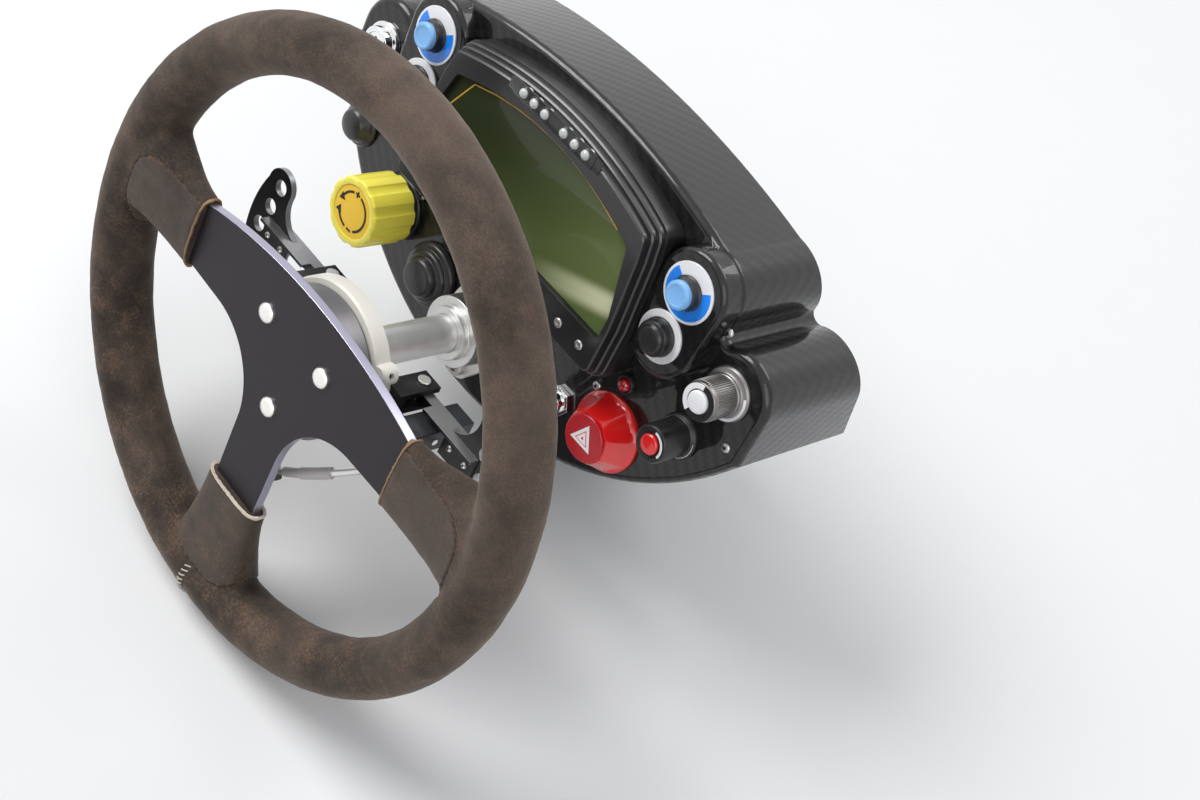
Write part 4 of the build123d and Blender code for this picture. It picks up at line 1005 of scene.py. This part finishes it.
# Profiles of the turned nodes: (radius, height above the seat), from the outside to the axis
PROFILES = {
    "display_buttons": ((2.4, 0), (2.4, 0.35), (1.9, 0.8), (0.9, 0.8), (0.6, 0.55), (0, 0.5)),
    "dial_collars": ((8.2, 0), (8.2, 0.8), (7.6, 1.2), (7.3, 4.4), (6.9, 5), (0, 5)),
    "dial_caps": ((6.8, 0), (6.8, 2), (6.2, 2.8), (4.9, 3), (4.6, 2.7), (0, 2.55)),
    "push_knobs": ((9.3, 0), (9.3, 1.2), (8.7, 1.5), (8.7, 4.6), (8.2, 5.6), (6.6, 6.2),
                   (6.3, 6.6), (5.8, 7.4), (3.2, 7.6), (0, 7.4)),
    "hazard_button": ((11.9, 0), (11.9, 1.3), (11.3, 2), (0, 2)),
    "bias_base": ((17.2, 0), (17.2, 0.8), (16.4, 1.4), (16.4, 3.6), (15.6, 4), (0, 4)),
    "telltale_bezel": ((5, 0), (5, 1.4), (4.5, 2.4), (3.7, 2.4), (3.5, 1.9), (0, 1.9)),
    "telltale_lamp": ((3.4, 0), (3.3, 1.2), (2.7, 2.3), (1.6, 2.9), (0, 3.1)),
    "rotary_barrel": ((11, 0), (11, 1.6), (10.4, 2.6), (9.6, 3), (9.2, 3.4), (9.2, 19.4),
                      (8.6, 20.6), (7.4, 21), (6.2, 21), (5.9, 20.4), (0, 20.4)),
    "rotary_cap": ((5, 0), (5, 1.2), (4.4, 1.9), (0, 2.1)),
    "start_barrel": ((13, 0), (13, 1.6), (12.2, 2.6), (10.6, 3), (9.8, 3.6), (9.8, 4.6),
                     (9.2, 5), (9.2, 18.6), (9.1, 20.4), (8.6, 21), (5.9, 21), (5.7, 20.2),
                     (0, 20.2)),
    "start_cap": ((5.4, 0), (5.4, 1.4), (4.9, 2.2), (3.6, 2.5), (0, 2.6)),
    "key_lock": ((11, 0), (11, 1.8), (10.4, 3), (8.6, 3.2), (8.4, 7.4), (7.8, 8), (5.6, 8),
                 (5.4, 7.2), (0, 7.2)),
    "small_rubber_button": ((12, 0), (12, 1.2), (11, 2.6), (9.9, 3), (9.5, 3.4), (8.4, 6.6),
                            (7.2, 8), (6.6, 8.2), (4, 9.3), (0, 9.5)),
    "large_rubber_button": ((17.5, 0), (17.5, 1.6), (17.1, 2.8), (16.2, 3.7), (15, 4.1),
                            (14.2, 4.2), (14, 5), (13.5, 6.2), (12.7, 6.9), (11.6, 7.1),
                            (10.9, 7.2), (10.7, 8.6), (10.2, 10.4), (9.2, 11.6), (8, 12),
                            (0, 12.1)),
}


def pod():
    """The lacquered carbon shell with the small screws of its face."""
    dressed("pod_shell", 0.0, "carbon")
    bm = bmesh.new()
    for side in (-1, 1):
        for x, y in FACE_SCREWS:
            dome_screw(bm, side * x, y, FACE, *FACE_SCREW)
    piece("pod_screws", bm, "pod", "carbon", "satin_silver", "mark")


def display():
    """The display: ridged case, olive glass with its gold line, and the plug behind."""
    dressed("display_case", 0.25, "case")
    dressed("display_screen", 0.25, "glass")
    dressed("display_connector", 0.5, "black_plastic")
    low, high = solids("display_screen")[0]
    half = (high.x - low.x) / 2
    # a gold line just inside the glass's arched top and down its leaning left side
    lift = high.z + GOLD_LINE_LIFT
    line = [(GOLD_LINE_START[0] - half, low.y + GOLD_LINE_START[1], lift)]
    line += [(x, high.y - GOLD_LINE_INSET - (x / half) ** 2 * GOLD_LINE_SAG, lift)
             for x in GOLD_LINE_XS]
    bm = bmesh.new()
    tube_along(bm, line, GOLD_LINE_R, 8)
    piece("display_gold_line", bm, "pod", "screen_green", "gold")


def lamps():
    """The display's clear lamps with their seats and their raised bar, and its two buttons."""
    front = spots("display_case")[0].top
    places = spots("shift_lights")
    domes, seats, bar = bmesh.new(), bmesh.new(), bmesh.new()
    for x, y, radius, foot, top in places:
        straight = 1 - LAMP_ROUND * radius / (top - foot)
        dome(domes, x, y, foot, radius, top - foot, straight, 9, 32)
        flat_ring(seats, (x, y, foot + 0.4), 0.0, radius * 0.6, 1.4)
        flat_ring(seats, (x, y, front), radius + 0.1, radius + 0.8, 1.0, index=1)
    piece("lamp_domes", domes, "pod", "lamp_clear", "lens", replaces="shift_lights")
    piece("lamp_seats", seats, "pod", "case_black", "white", "case")
    for margin, tall, rise in LAMP_BAR:
        block(bar, (0, places[0].y, front + rise / 2), (2 * (places[-1].x + margin), tall, rise))
    soften(bar, 0.25)
    piece("lamp_bar", bar, "pod", "case_black", "case")
    turned_node("display_dots", "display_buttons", front, "satin_silver", 0.0, 40)


# The dials and the switches
DIAL_BORE = 4.2  # radius of the hole in a dial
BAND_R, BAND_INSET = 8.1, 1.3  # of a blue band: inner radius, and outer edge from the dial's
BAND_START, BAND_TURN = 146, 250


def dials():
    """The blue and white dials with their collars and caps, and the white dials' push knobs."""
    bm = bmesh.new()
    for x, y, radius, foot, _ in spots("blue_dials"):
        flat_ring(bm, (x, y, foot), DIAL_BORE, radius, 0.75, index=1)
        flat_ring(bm, (x, y, foot + 0.6), BAND_R, radius - BAND_INSET, 0.3, BAND_START,
                  BAND_TURN)
    piece("sector_dials", bm, "pod", "blue", "blue", "white", replaces="blue_dials")
    turned_node("dial_collars_turned", "dial_collars", PAD + 1, "black_plastic", 0.25)
    turned_node("dial_caps_turned", "dial_caps", PAD + 6, "light_blue", 0.2)
    bm = bmesh.new()
    for x, y, radius, foot, _ in spots("white_dials"):
        flat_ring(bm, (x, y, foot), DIAL_BORE, radius, 1.0)
    piece("white_dial_plates", bm, "pod", "white", "white", replaces="white_dials")
    turned_node("push_knobs_turned", "push_knobs", PAD + 1, "black_plastic", 0.2)


# Corner radii of the hazard sign's triangles, white and red by turns
TRIANGLES = (8.0, 4.8, 3.9, 1.1)


def facets(turn, sides):
    """Share of a regular polygon's corner radius at an angle."""
    half = math.pi / sides
    return math.cos(half) / math.cos((turn % (2 * half)) - half)


def hazard():
    """The red hazard switch: a flared, faceted body and a button with a white triangle."""
    x, y, outer, foot, top = spots("hazard_base")[0]
    rise = top - FACE
    turns = [math.tau * k / 128 for k in range(128)]
    rings = []
    # height, radius and how far the ring is from round to eight-sided
    for height, radius, squared in (
            (foot - FACE, 5.5, 0), (0, 5.5, 0), (0, outer, 0), (1.6, outer, 0),
            (2.1, outer - 0.6, 0.2), (3.2, outer - 1.2, 0.9), (4.4, outer - 1.7, 1),
            (rise - 3.4, outer - 5.6, 0.85), (rise - 1, outer - 6.7, 0.4),
            (rise - 0.2, outer - 7.2, 0.1), (rise, outer - 7.8, 0)):
        rings.append(ring(x, y, FACE + height,
                          [radius * (1 + squared * (facets(turn + 0.3, 8) ** 0.8 - 1))
                           for turn in turns]))
    bm = bmesh.new()
    skin(bm, rings)
    piece("hazard_body", bm, "pod", "red", "red", replaces="hazard_base", sharp=24)
    turned_node("hazard_button_turned", "hazard_button", top, "dark_red", 0.25, 72)
    level = spots("hazard_button")[0].top - 0.1
    bm = bmesh.new()
    # each triangle stands prouder than the one round it
    for step, corner in enumerate(TRIANGLES):
        prism(bm, (x, y, level), 3, corner, 0, 0.2 + 0.1 * step, step % 2)
    piece("hazard_triangle", bm, "pod", "white", "white", "red")


# The yellow knob's rings: share of its radius, drop below its top and depth of the flutes
KNOB_RIM = ((1.0, 1.6, 1.0), (0.985, 0.7, 0.9), (0.95, 0.15, 0.6), (0.92, 0, 0.4),
            (0.79, 0, 0.0), (0.765, 0.2, 0.0), (0.75, 1, 0.0))
MARK_R, MARK_T = 10.2, 0.14  # the middle of the knob's marks, and how thick they are
ARC = ((9.5, 0), (10.8, 0), (10.8, MARK_T), (9.5, MARK_T))
ARROW_R, ARROW_LEAD = 2.7, 7  # an arrowhead's size, and degrees past its arc's end
BAR_LENGTH, BAR_WIDTH = 3.4, 1.1  # of the plus and minus
# First and last angle of each arc, and whether it ends in an arrowhead
KNOB_ARCS = ((110, 160, True), (262, 214, True), (78, -60, False))
PLUS_TURN, MINUS_TURN = 94, -79


def bias_knob(look):
    """The yellow fluted knob with its sunk disc, arrows and plus and minus signs."""
    x, y, _, foot, top = spots("bias_knob")[0]
    radius = look.knob_radius / MM
    flutes = [max(0.0, math.cos(math.tau * k / 240 * look.knob_flutes)) ** 0.6
              for k in range(240)]
    rows = [(0.96, foot, 0.9), (1.0, foot + 0.7, 1.0)]
    rows += [(share, top - drop, depth) for share, drop, depth in KNOB_RIM]
    bm = bmesh.new()
    skin(bm, [ring(x, y, z, [radius * share - depth * flute for flute in flutes])
              for share, z, depth in rows])
    piece("yellow_knob", bm, "pod", "yellow", "yellow", replaces="bias_knob", sharp=26)
    bm = bmesh.new()
    flat_ring(bm, (x, y, top - 1), 0.0, radius * 0.752, 0.4)
    level = Vector((x, y, top - 0.62))
    for start, end, headed in KNOB_ARCS:
        turn = abs(end - start)
        sweep(bm, level, ARC, min(start, end), turn, 1, steps=turn // 4)
        if headed:
            way = 1 if end > start else -1
            tip = end + ARROW_LEAD * way
            prism(bm, level + polar(MARK_R, tip), 3, ARROW_R, tip + 90 * way, MARK_T, 1)
    for turn in (PLUS_TURN, MINUS_TURN):
        spot = level + polar(MARK_R, turn, MARK_T / 2)
        block(bm, spot, (BAR_LENGTH, BAR_WIDTH, MARK_T), 0, 1)
    # the plus's second bar is a hair thicker, so that the two don't share a face
    spot = level + polar(MARK_R, PLUS_TURN, MARK_T / 2)
    block(bm, spot, (BAR_WIDTH, BAR_LENGTH, MARK_T + 0.005), 0, 1)
    piece("knob_disc", bm, "pod", "yellow", "deep_yellow", "mark")
    turned_node("knob_collar", "bias_base", FACE, "black_plastic", 0.3, 80)


# Rings and arcs on the two barrels: height above the face, inner and outer radius, thickness,
# start, turn, and which finish
# the rotary's second arc, a white arc round its foot, is a painted highlight
ROTARY_ARCS = ((20.95, 6.3, 7.5, 0.2, -20, 110, 0), (2.5, 9.4, 10.3, 0.25, -75, 95, 0))
# the start button's third arc, a white arc round its foot, is a painted highlight
START_ARCS = ((20.9, 5.9, 8.9, 0.22, 0, 360, 0), (21, 6.0, 8.6, 0.3, 95, 150, 1),
              (2.7, 10.8, 12.2, 0.3, -70, 100, 1))
RIBS, RIB_R = 54, 9.15
RIB_STEPS = ((5.2, 0.0), (5.5, 0.5), (18.2, 0.5), (18.6, 0.0))  # height, and depth of the ribs
KEY_SLOT, KEY_SLOT_HEIGHT, KEY_SLOT_TURN = (1.5, 6.4, 0.12), 7.25, 20


def barrel_arcs(name, node_name, arcs, slot, *materials):
    """The printed rings and arcs on a barrel's front, and the white arcs round its foot, which are
    painted highlights.
    """
    x, y = spots(node_name)[0][:2]
    bm = bmesh.new()
    for height, *sizes in arcs:
        flat_ring(bm, (x, y, FACE + height), *sizes)
    piece(name, bm, "pod", slot, *materials)


def rotary():
    """The small red telltale, and the rotary with its red centre, a white arc on its front and a
    painted highlight round its foot.
    """
    turned_node("telltale_ring", "telltale_bezel", FACE, "black_plastic", 0.15, 48)
    turned_node("telltale_jewel", "telltale_lamp", FACE + 1.9, "jewel", 0.0, 10)
    turned_node("rotary_turned", "rotary_barrel", FACE, "black_plastic", 0.25, 72)
    turned_node("rotary_centre", "rotary_cap", FACE + 20.4, "red", 0.2, 48)
    barrel_arcs("rotary_arc", "rotary_barrel", ROTARY_ARCS, "white", "white")


def start_button():
    """The silver ribbed start button with its pale centre, front ring and white arc, and a painted
    highlight round its foot.
    """
    turned_node("start_turned", "start_barrel", FACE, "ribbed", 0.2, 96)
    turned_node("start_centre", "start_cap", FACE + 20.2, "white", 0.2, 48)
    barrel_arcs("start_front_ring", "start_barrel", START_ARCS, "black_plastic",
                "black_plastic", "white")
    x, y = spots("start_barrel")[0][:2]
    bm = bmesh.new()
    # the depth stands between the second and third of every four points
    skin(bm, [ring(x, y, FACE + height, [RIB_R, RIB_R + depth, RIB_R + depth, RIB_R] * RIBS)
              for height, depth in RIB_STEPS])
    piece("start_ribs", bm, "pod", "satin_silver", "ribbed", sharp=20)


def buttons():
    """The key lock, the two rubber buttons and the toggle."""
    turned_node("lock_turned", "key_lock", FACE, "chrome", 0.25, 72)
    x, y = spots("key_lock")[0][:2]
    bm = bmesh.new()
    # the keyway is a thin black block on the lock's face: painted shade
    block(bm, (x, y, FACE + KEY_SLOT_HEIGHT), KEY_SLOT, KEY_SLOT_TURN)
    piece("key_slot", bm, "pod", "chrome", "mark")
    turned_node("small_rubber_turned", "small_rubber_button", FACE, "rubber", 0.3, 72)
    turned_node("large_rubber_turned", "large_rubber_button", FACE, "rubber", 0.5, 96)
    dressed("toggle_switch", 0.35, "chrome")
    bm = merged_node("toggle_bat")
    soften(bm, 0.9, 4)
    stand_in("toggle_lever", bm, "toggle_bat", "chrome")


def switch_backs():
    """The nuts and switch bodies behind the face."""
    dressed("panel_nuts", 0.3, "satin_silver")
    dressed("switch_bodies", 0.6, "black_plastic")


# The stage
# Name, place and size of each lamp, in metres; their powers are in the look
LAMPS = (("key", (-0.9, -0.5, 1.5), 1.1), ("fill", (1.3, -0.9, 1.1), 1.4),
         ("back", (0.3, 1.4, 1.3), 1.2))
FLOOR_SIZE, FLOOR_GAP = 6, 0.002  # the gap is below the object's lowest point
RUN_OUT = (0.5, 1.1)  # from the middle, where the floor turns white


def white_for_view(tree, shader, white, output, share=1.0):
    """Show a share of white in a shader's place to camera, glossy and transmission rays."""
    path = node(tree, "LightPath").outputs
    seen, mirrored, through = (Value(tree, path[ray]) for ray in (
        "Is Camera Ray", "Is Glossy Ray", "Is Transmission Ray"))
    share = seen.or_larger(mirrored).or_larger(through) * share
    plain = given(tree, white, 0, Color=(1, 1, 1, 1), Strength=1.0)
    blend = node(tree, "MixShader", i0=share, i1=Value(tree, shader.outputs[0]), i2=plain)
    tree.links.new(blend.outputs[0], tree.nodes[output].inputs["Surface"])


def floor():
    """The pale floor, which runs out to white."""
    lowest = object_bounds()[0][2]
    bm = bmesh.new()
    bmesh.ops.create_grid(bm, x_segments=1, y_segments=1, size=FLOOR_SIZE)
    made = placed("floor", mesh_from("floor", bm))
    made.location.z = lowest - FLOOR_GAP
    paper = hard("floor_paper", (0.78, 0.78, 0.78), 0.85, 0.02, bump=0.0, patch=2.0, grain=40.0)
    tree = paper.node_tree
    away = given(tree, "VectorMath", "Value", {"operation": "LENGTH"},
                 i0=given(tree, "TexCoord", "Object"))
    white_for_view(tree, tree.nodes["Principled BSDF"], "Emission", "Material Output",
                   ramp(away, *RUN_OUT))
    made.data.materials.append(paper)
    made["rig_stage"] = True


def lights(look):
    """Three soft lamps, and a sky that lights the object and looks white."""
    low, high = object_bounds()
    middle = (Vector(low) + Vector(high)) / 2
    for name, place, size in LAMPS:
        light = bpy.data.lights.new(name, "AREA")
        light.shape, light.size = "DISK", size
        light.energy = getattr(look, name + "_power")
        made = placed(name, light)
        made.location = place
        made.rotation_euler = (middle - Vector(place)).to_track_quat("-Z", "Y").to_euler()
    world = bpy.data.worlds.new("studio")
    bpy.context.scene.world = world
    world.use_nodes = True
    sky = world.node_tree.nodes["Background"]
    sky.inputs["Color"].default_value = (*look.sky, 1)
    sky.inputs["Strength"].default_value = look.sky_power
    white_for_view(world.node_tree, sky, "Background", "World Output")


def camera(look):
    """The camera at the photograph's angle."""
    eye = bpy.data.cameras.new("camera")
    eye.lens = look.lens
    eye.clip_start = 0.01
    made = placed("camera", eye)
    made.location = look.camera_place
    made.rotation_euler = Euler(look.camera_turn, "XYZ")
    bpy.context.scene.camera = made
    bpy.context.scene.view_settings.view_transform = "Standard"


def length(name, text, value):
    """A length property, in metres."""
    return FloatProperty(name=name, description=text, default=value, unit="LENGTH", precision=5)


def swatch(name, text, value):
    """A colour property."""
    return FloatVectorProperty(name=name, description=text, default=value, subtype="COLOR",
                               min=0.0, max=1.0)


class CockpitLook(bpy.types.PropertyGroup):
    """Sizes and colours of the wheel and pod."""
    grip_width: length("Grip width", "Radial width of the grip", 0.028)
    grip_thickness: length("Grip thickness", "Thickness of the grip along the column", 0.032)
    cuff_start: length("Cuff start", "From the column's axis to a cuff's mouth", 0.081)
    cuff_width: length("Cuff width", "Width of a cuff's mouth", 0.039)
    cuff_wall: length("Cuff wall", "Leather and padding over the spoke", 0.0042)
    cuff_middle: length("Cuff middle", "Height of a side cuff's middle", 0.0105)
    cuff_rise: length("Cuff rise", "How far a side cuff leans up", 0.004)
    seam_centre: length("Seam centre", "From the axis to where a seam starts to bow out", 0.106)
    seam_reach: length("Seam reach", "How far a seam bows out over the grip", 0.0245)
    seam_half_width: length("Seam half width", "From a seam's middle to its ends", 0.026)
    seam_shift: length("Seam shift", "Height of the side seams' middle", 0.0005)
    stitch_count: IntProperty(name="Stitches", description="Stitches across the grip's foot",
                              default=15, min=1, max=40)
    suede_dark: swatch("Suede, dark", "Suede against the nap", (0.013, 0.0085, 0.0065))
    suede_light: swatch("Suede, light", "Suede along the nap", (0.098, 0.07, 0.053))
    suede_worn: swatch("Suede, worn", "Worn tan fibres", (0.24, 0.125, 0.06))
    plate_bevel: length("Plate edge", "Rounding of the spoke plate's edges", 0.0005)
    knob_radius: length("Knob radius", "Radius of the yellow knob", 0.0183)
    knob_flutes: IntProperty(name="Flutes", description="Flutes of the yellow knob", default=10,
                             min=3, max=30)
    yellow: swatch("Yellow", "The fluted knob", (1.0, 0.87, 0.1))
    deep_yellow: swatch("Deep yellow", "The knob's sunk disc", (1.0, 0.63, 0.03))
    red: swatch("Red", "The hazard switch and the rotary's centre", (0.78, 0.012, 0.012))
    blue: swatch("Blue", "The dials' band", (0.008, 0.25, 0.95))
    light_blue: swatch("Light blue", "The dials' caps", (0.22, 0.48, 0.86))
    # the glass's lighter colour towards the lower right is painted light
    screen: swatch("Glass, dark", "The display's glass, upper left", (0.022, 0.03, 0.01))
    screen_light: swatch("Glass, light", "The display's glass, lower right", (0.12, 0.16, 0.05))
    key_power: FloatProperty(name="Key light", description="Power of the key light, W",
                             default=26.0, min=0.0)
    fill_power: FloatProperty(name="Fill light", description="Power of the fill light, W",
                              default=9.0, min=0.0)
    back_power: FloatProperty(name="Back light", description="Power of the back light, W",
                              default=12.0, min=0.0)
    sky: swatch("Sky", "Light from all round", (0.92, 0.95, 1.0))
    sky_power: FloatProperty(name="Sky power", description="Strength of the light all round",
                             default=0.4, min=0.0)
    lens: FloatProperty(name="Lens", description="Focal length, mm", default=54.0, min=10.0)
    camera_place: FloatVectorProperty(name="Camera place", description="Where the camera stands",
                                      default=(0.4325, -0.5105, 0.7180), subtype="TRANSLATION",
                                      unit="LENGTH", precision=4)
    camera_turn: FloatVectorProperty(name="Camera turn", description="How the camera is turned",
                                     default=(math.radians(38.471), math.radians(-8.281),
                                              math.radians(51.716)), subtype="EULER")


def ready(context):
    """The scene's look, once the materials are made from it."""
    look = context.scene.cockpit_look
    if not MATERIALS:
        make_materials(look)
    return look


class COCKPIT_OT_grip(bpy.types.Operator):
    """Build the suede grip, its cut edges and its stitches."""
    bl_idname = "cockpit.grip"
    bl_label = "Grip"
    bl_options = {"REGISTER", "UNDO"}

    def execute(self, context):
        look = ready(context)
        grip(look)
        cuff_edges(look)
        stitches(look)
        return {"FINISHED"}


class COCKPIT_OT_spokes(bpy.types.Operator):
    """Build the spoke plate and its bolts."""
    bl_idname = "cockpit.spokes"
    bl_label = "Spokes"
    bl_options = {"REGISTER", "UNDO"}

    def execute(self, context):
        look = ready(context)
        spokes(look)
        return {"FINISHED"}


class COCKPIT_OT_hub(bpy.types.Operator):
    """Build the spacer, boss, tube and paddle carrier."""
    bl_idname = "cockpit.hub"
    bl_label = "Hub"
    bl_options = {"REGISTER", "UNDO"}

    def execute(self, context):
        ready(context)
        hub()
        return {"FINISHED"}


class COCKPIT_OT_paddles(bpy.types.Operator):
    """Build the paddles, their switch and its lead."""
    bl_idname = "cockpit.paddles"
    bl_label = "Paddles"
    bl_options = {"REGISTER", "UNDO"}

    def execute(self, context):
        ready(context)
        paddles()
        paddle_switch()
        return {"FINISHED"}


class COCKPIT_OT_column(bpy.types.Operator):
    """Build what carries the column and the pod."""
    bl_idname = "cockpit.column"
    bl_label = "Column support"
    bl_options = {"REGISTER", "UNDO"}

    def execute(self, context):
        ready(context)
        column()
        return {"FINISHED"}


class COCKPIT_OT_pod(bpy.types.Operator):
    """Build the pod's shell and its screws."""
    bl_idname = "cockpit.pod"
    bl_label = "Pod"
    bl_options = {"REGISTER", "UNDO"}

    def execute(self, context):
        ready(context)
        pod()
        return {"FINISHED"}


class COCKPIT_OT_display(bpy.types.Operator):
    """Build the display, its lamps and its buttons."""
    bl_idname = "cockpit.display"
    bl_label = "Display"
    bl_options = {"REGISTER", "UNDO"}

    def execute(self, context):
        ready(context)
        display()
        lamps()
        return {"FINISHED"}


class COCKPIT_OT_dials(bpy.types.Operator):
    """Build the four dials."""
    bl_idname = "cockpit.dials"
    bl_label = "Dials"
    bl_options = {"REGISTER", "UNDO"}

    def execute(self, context):
        ready(context)
        dials()
        return {"FINISHED"}


class COCKPIT_OT_hazard(bpy.types.Operator):
    """Build the hazard switch."""
    bl_idname = "cockpit.hazard"
    bl_label = "Hazard switch"
    bl_options = {"REGISTER", "UNDO"}

    def execute(self, context):
        ready(context)
        hazard()
        return {"FINISHED"}


class COCKPIT_OT_knob(bpy.types.Operator):
    """Build the yellow knob."""
    bl_idname = "cockpit.knob"
    bl_label = "Yellow knob"
    bl_options = {"REGISTER", "UNDO"}

    def execute(self, context):
        look = ready(context)
        bias_knob(look)
        return {"FINISHED"}


class COCKPIT_OT_controls(bpy.types.Operator):
    """Build the other switches of the face."""
    bl_idname = "cockpit.controls"
    bl_label = "Small controls"
    bl_options = {"REGISTER", "UNDO"}

    def execute(self, context):
        ready(context)
        rotary()
        start_button()
        buttons()
        return {"FINISHED"}


class COCKPIT_OT_backs(bpy.types.Operator):
    """Build the nuts and bodies behind the face."""
    bl_idname = "cockpit.backs"
    bl_label = "Switch backs"
    bl_options = {"REGISTER", "UNDO"}

    def execute(self, context):
        ready(context)
        switch_backs()
        return {"FINISHED"}


class COCKPIT_OT_stage(bpy.types.Operator):
    """Build the floor, lights, background and camera."""
    bl_idname = "cockpit.stage"
    bl_label = "Stage"
    bl_options = {"REGISTER", "UNDO"}

    def execute(self, context):
        look = ready(context)
        lights(look)
        floor()
        camera(look)
        return {"FINISHED"}


OPERATORS = (COCKPIT_OT_grip, COCKPIT_OT_spokes, COCKPIT_OT_hub, COCKPIT_OT_paddles,
             COCKPIT_OT_column, COCKPIT_OT_pod, COCKPIT_OT_display, COCKPIT_OT_dials,
             COCKPIT_OT_hazard, COCKPIT_OT_knob, COCKPIT_OT_controls, COCKPIT_OT_backs,
             COCKPIT_OT_stage)


class COCKPIT_PT_panel(bpy.types.Panel):
    """Sizes, colours and builders of the cockpit."""
    bl_idname = "COCKPIT_PT_panel"
    bl_label = "Cockpit"
    bl_space_type = "VIEW_3D"
    bl_region_type = "UI"
    bl_category = "Cockpit"

    def draw(self, context):
        look = context.scene.cockpit_look
        for name in look.__annotations__:
            self.layout.prop(look, name)
        for operator in OPERATORS:
            self.layout.operator(operator.bl_idname)


def register():
    """Add the properties, operators and panel."""
    for kind in (CockpitLook, *OPERATORS, COCKPIT_PT_panel):
        bpy.utils.register_class(kind)
    bpy.types.Scene.cockpit_look = PointerProperty(type=CockpitLook)


def unregister():
    """Take them away."""
    del bpy.types.Scene.cockpit_look
    for kind in reversed((CockpitLook, *OPERATORS, COCKPIT_PT_panel)):
        bpy.utils.unregister_class(kind)


def main():
    """Build everything in order."""
    register()
    for operator in OPERATORS:
        family, name = operator.bl_idname.split(".")
        getattr(getattr(bpy.ops, family), name)()


if __name__ == "__main__":
    main()
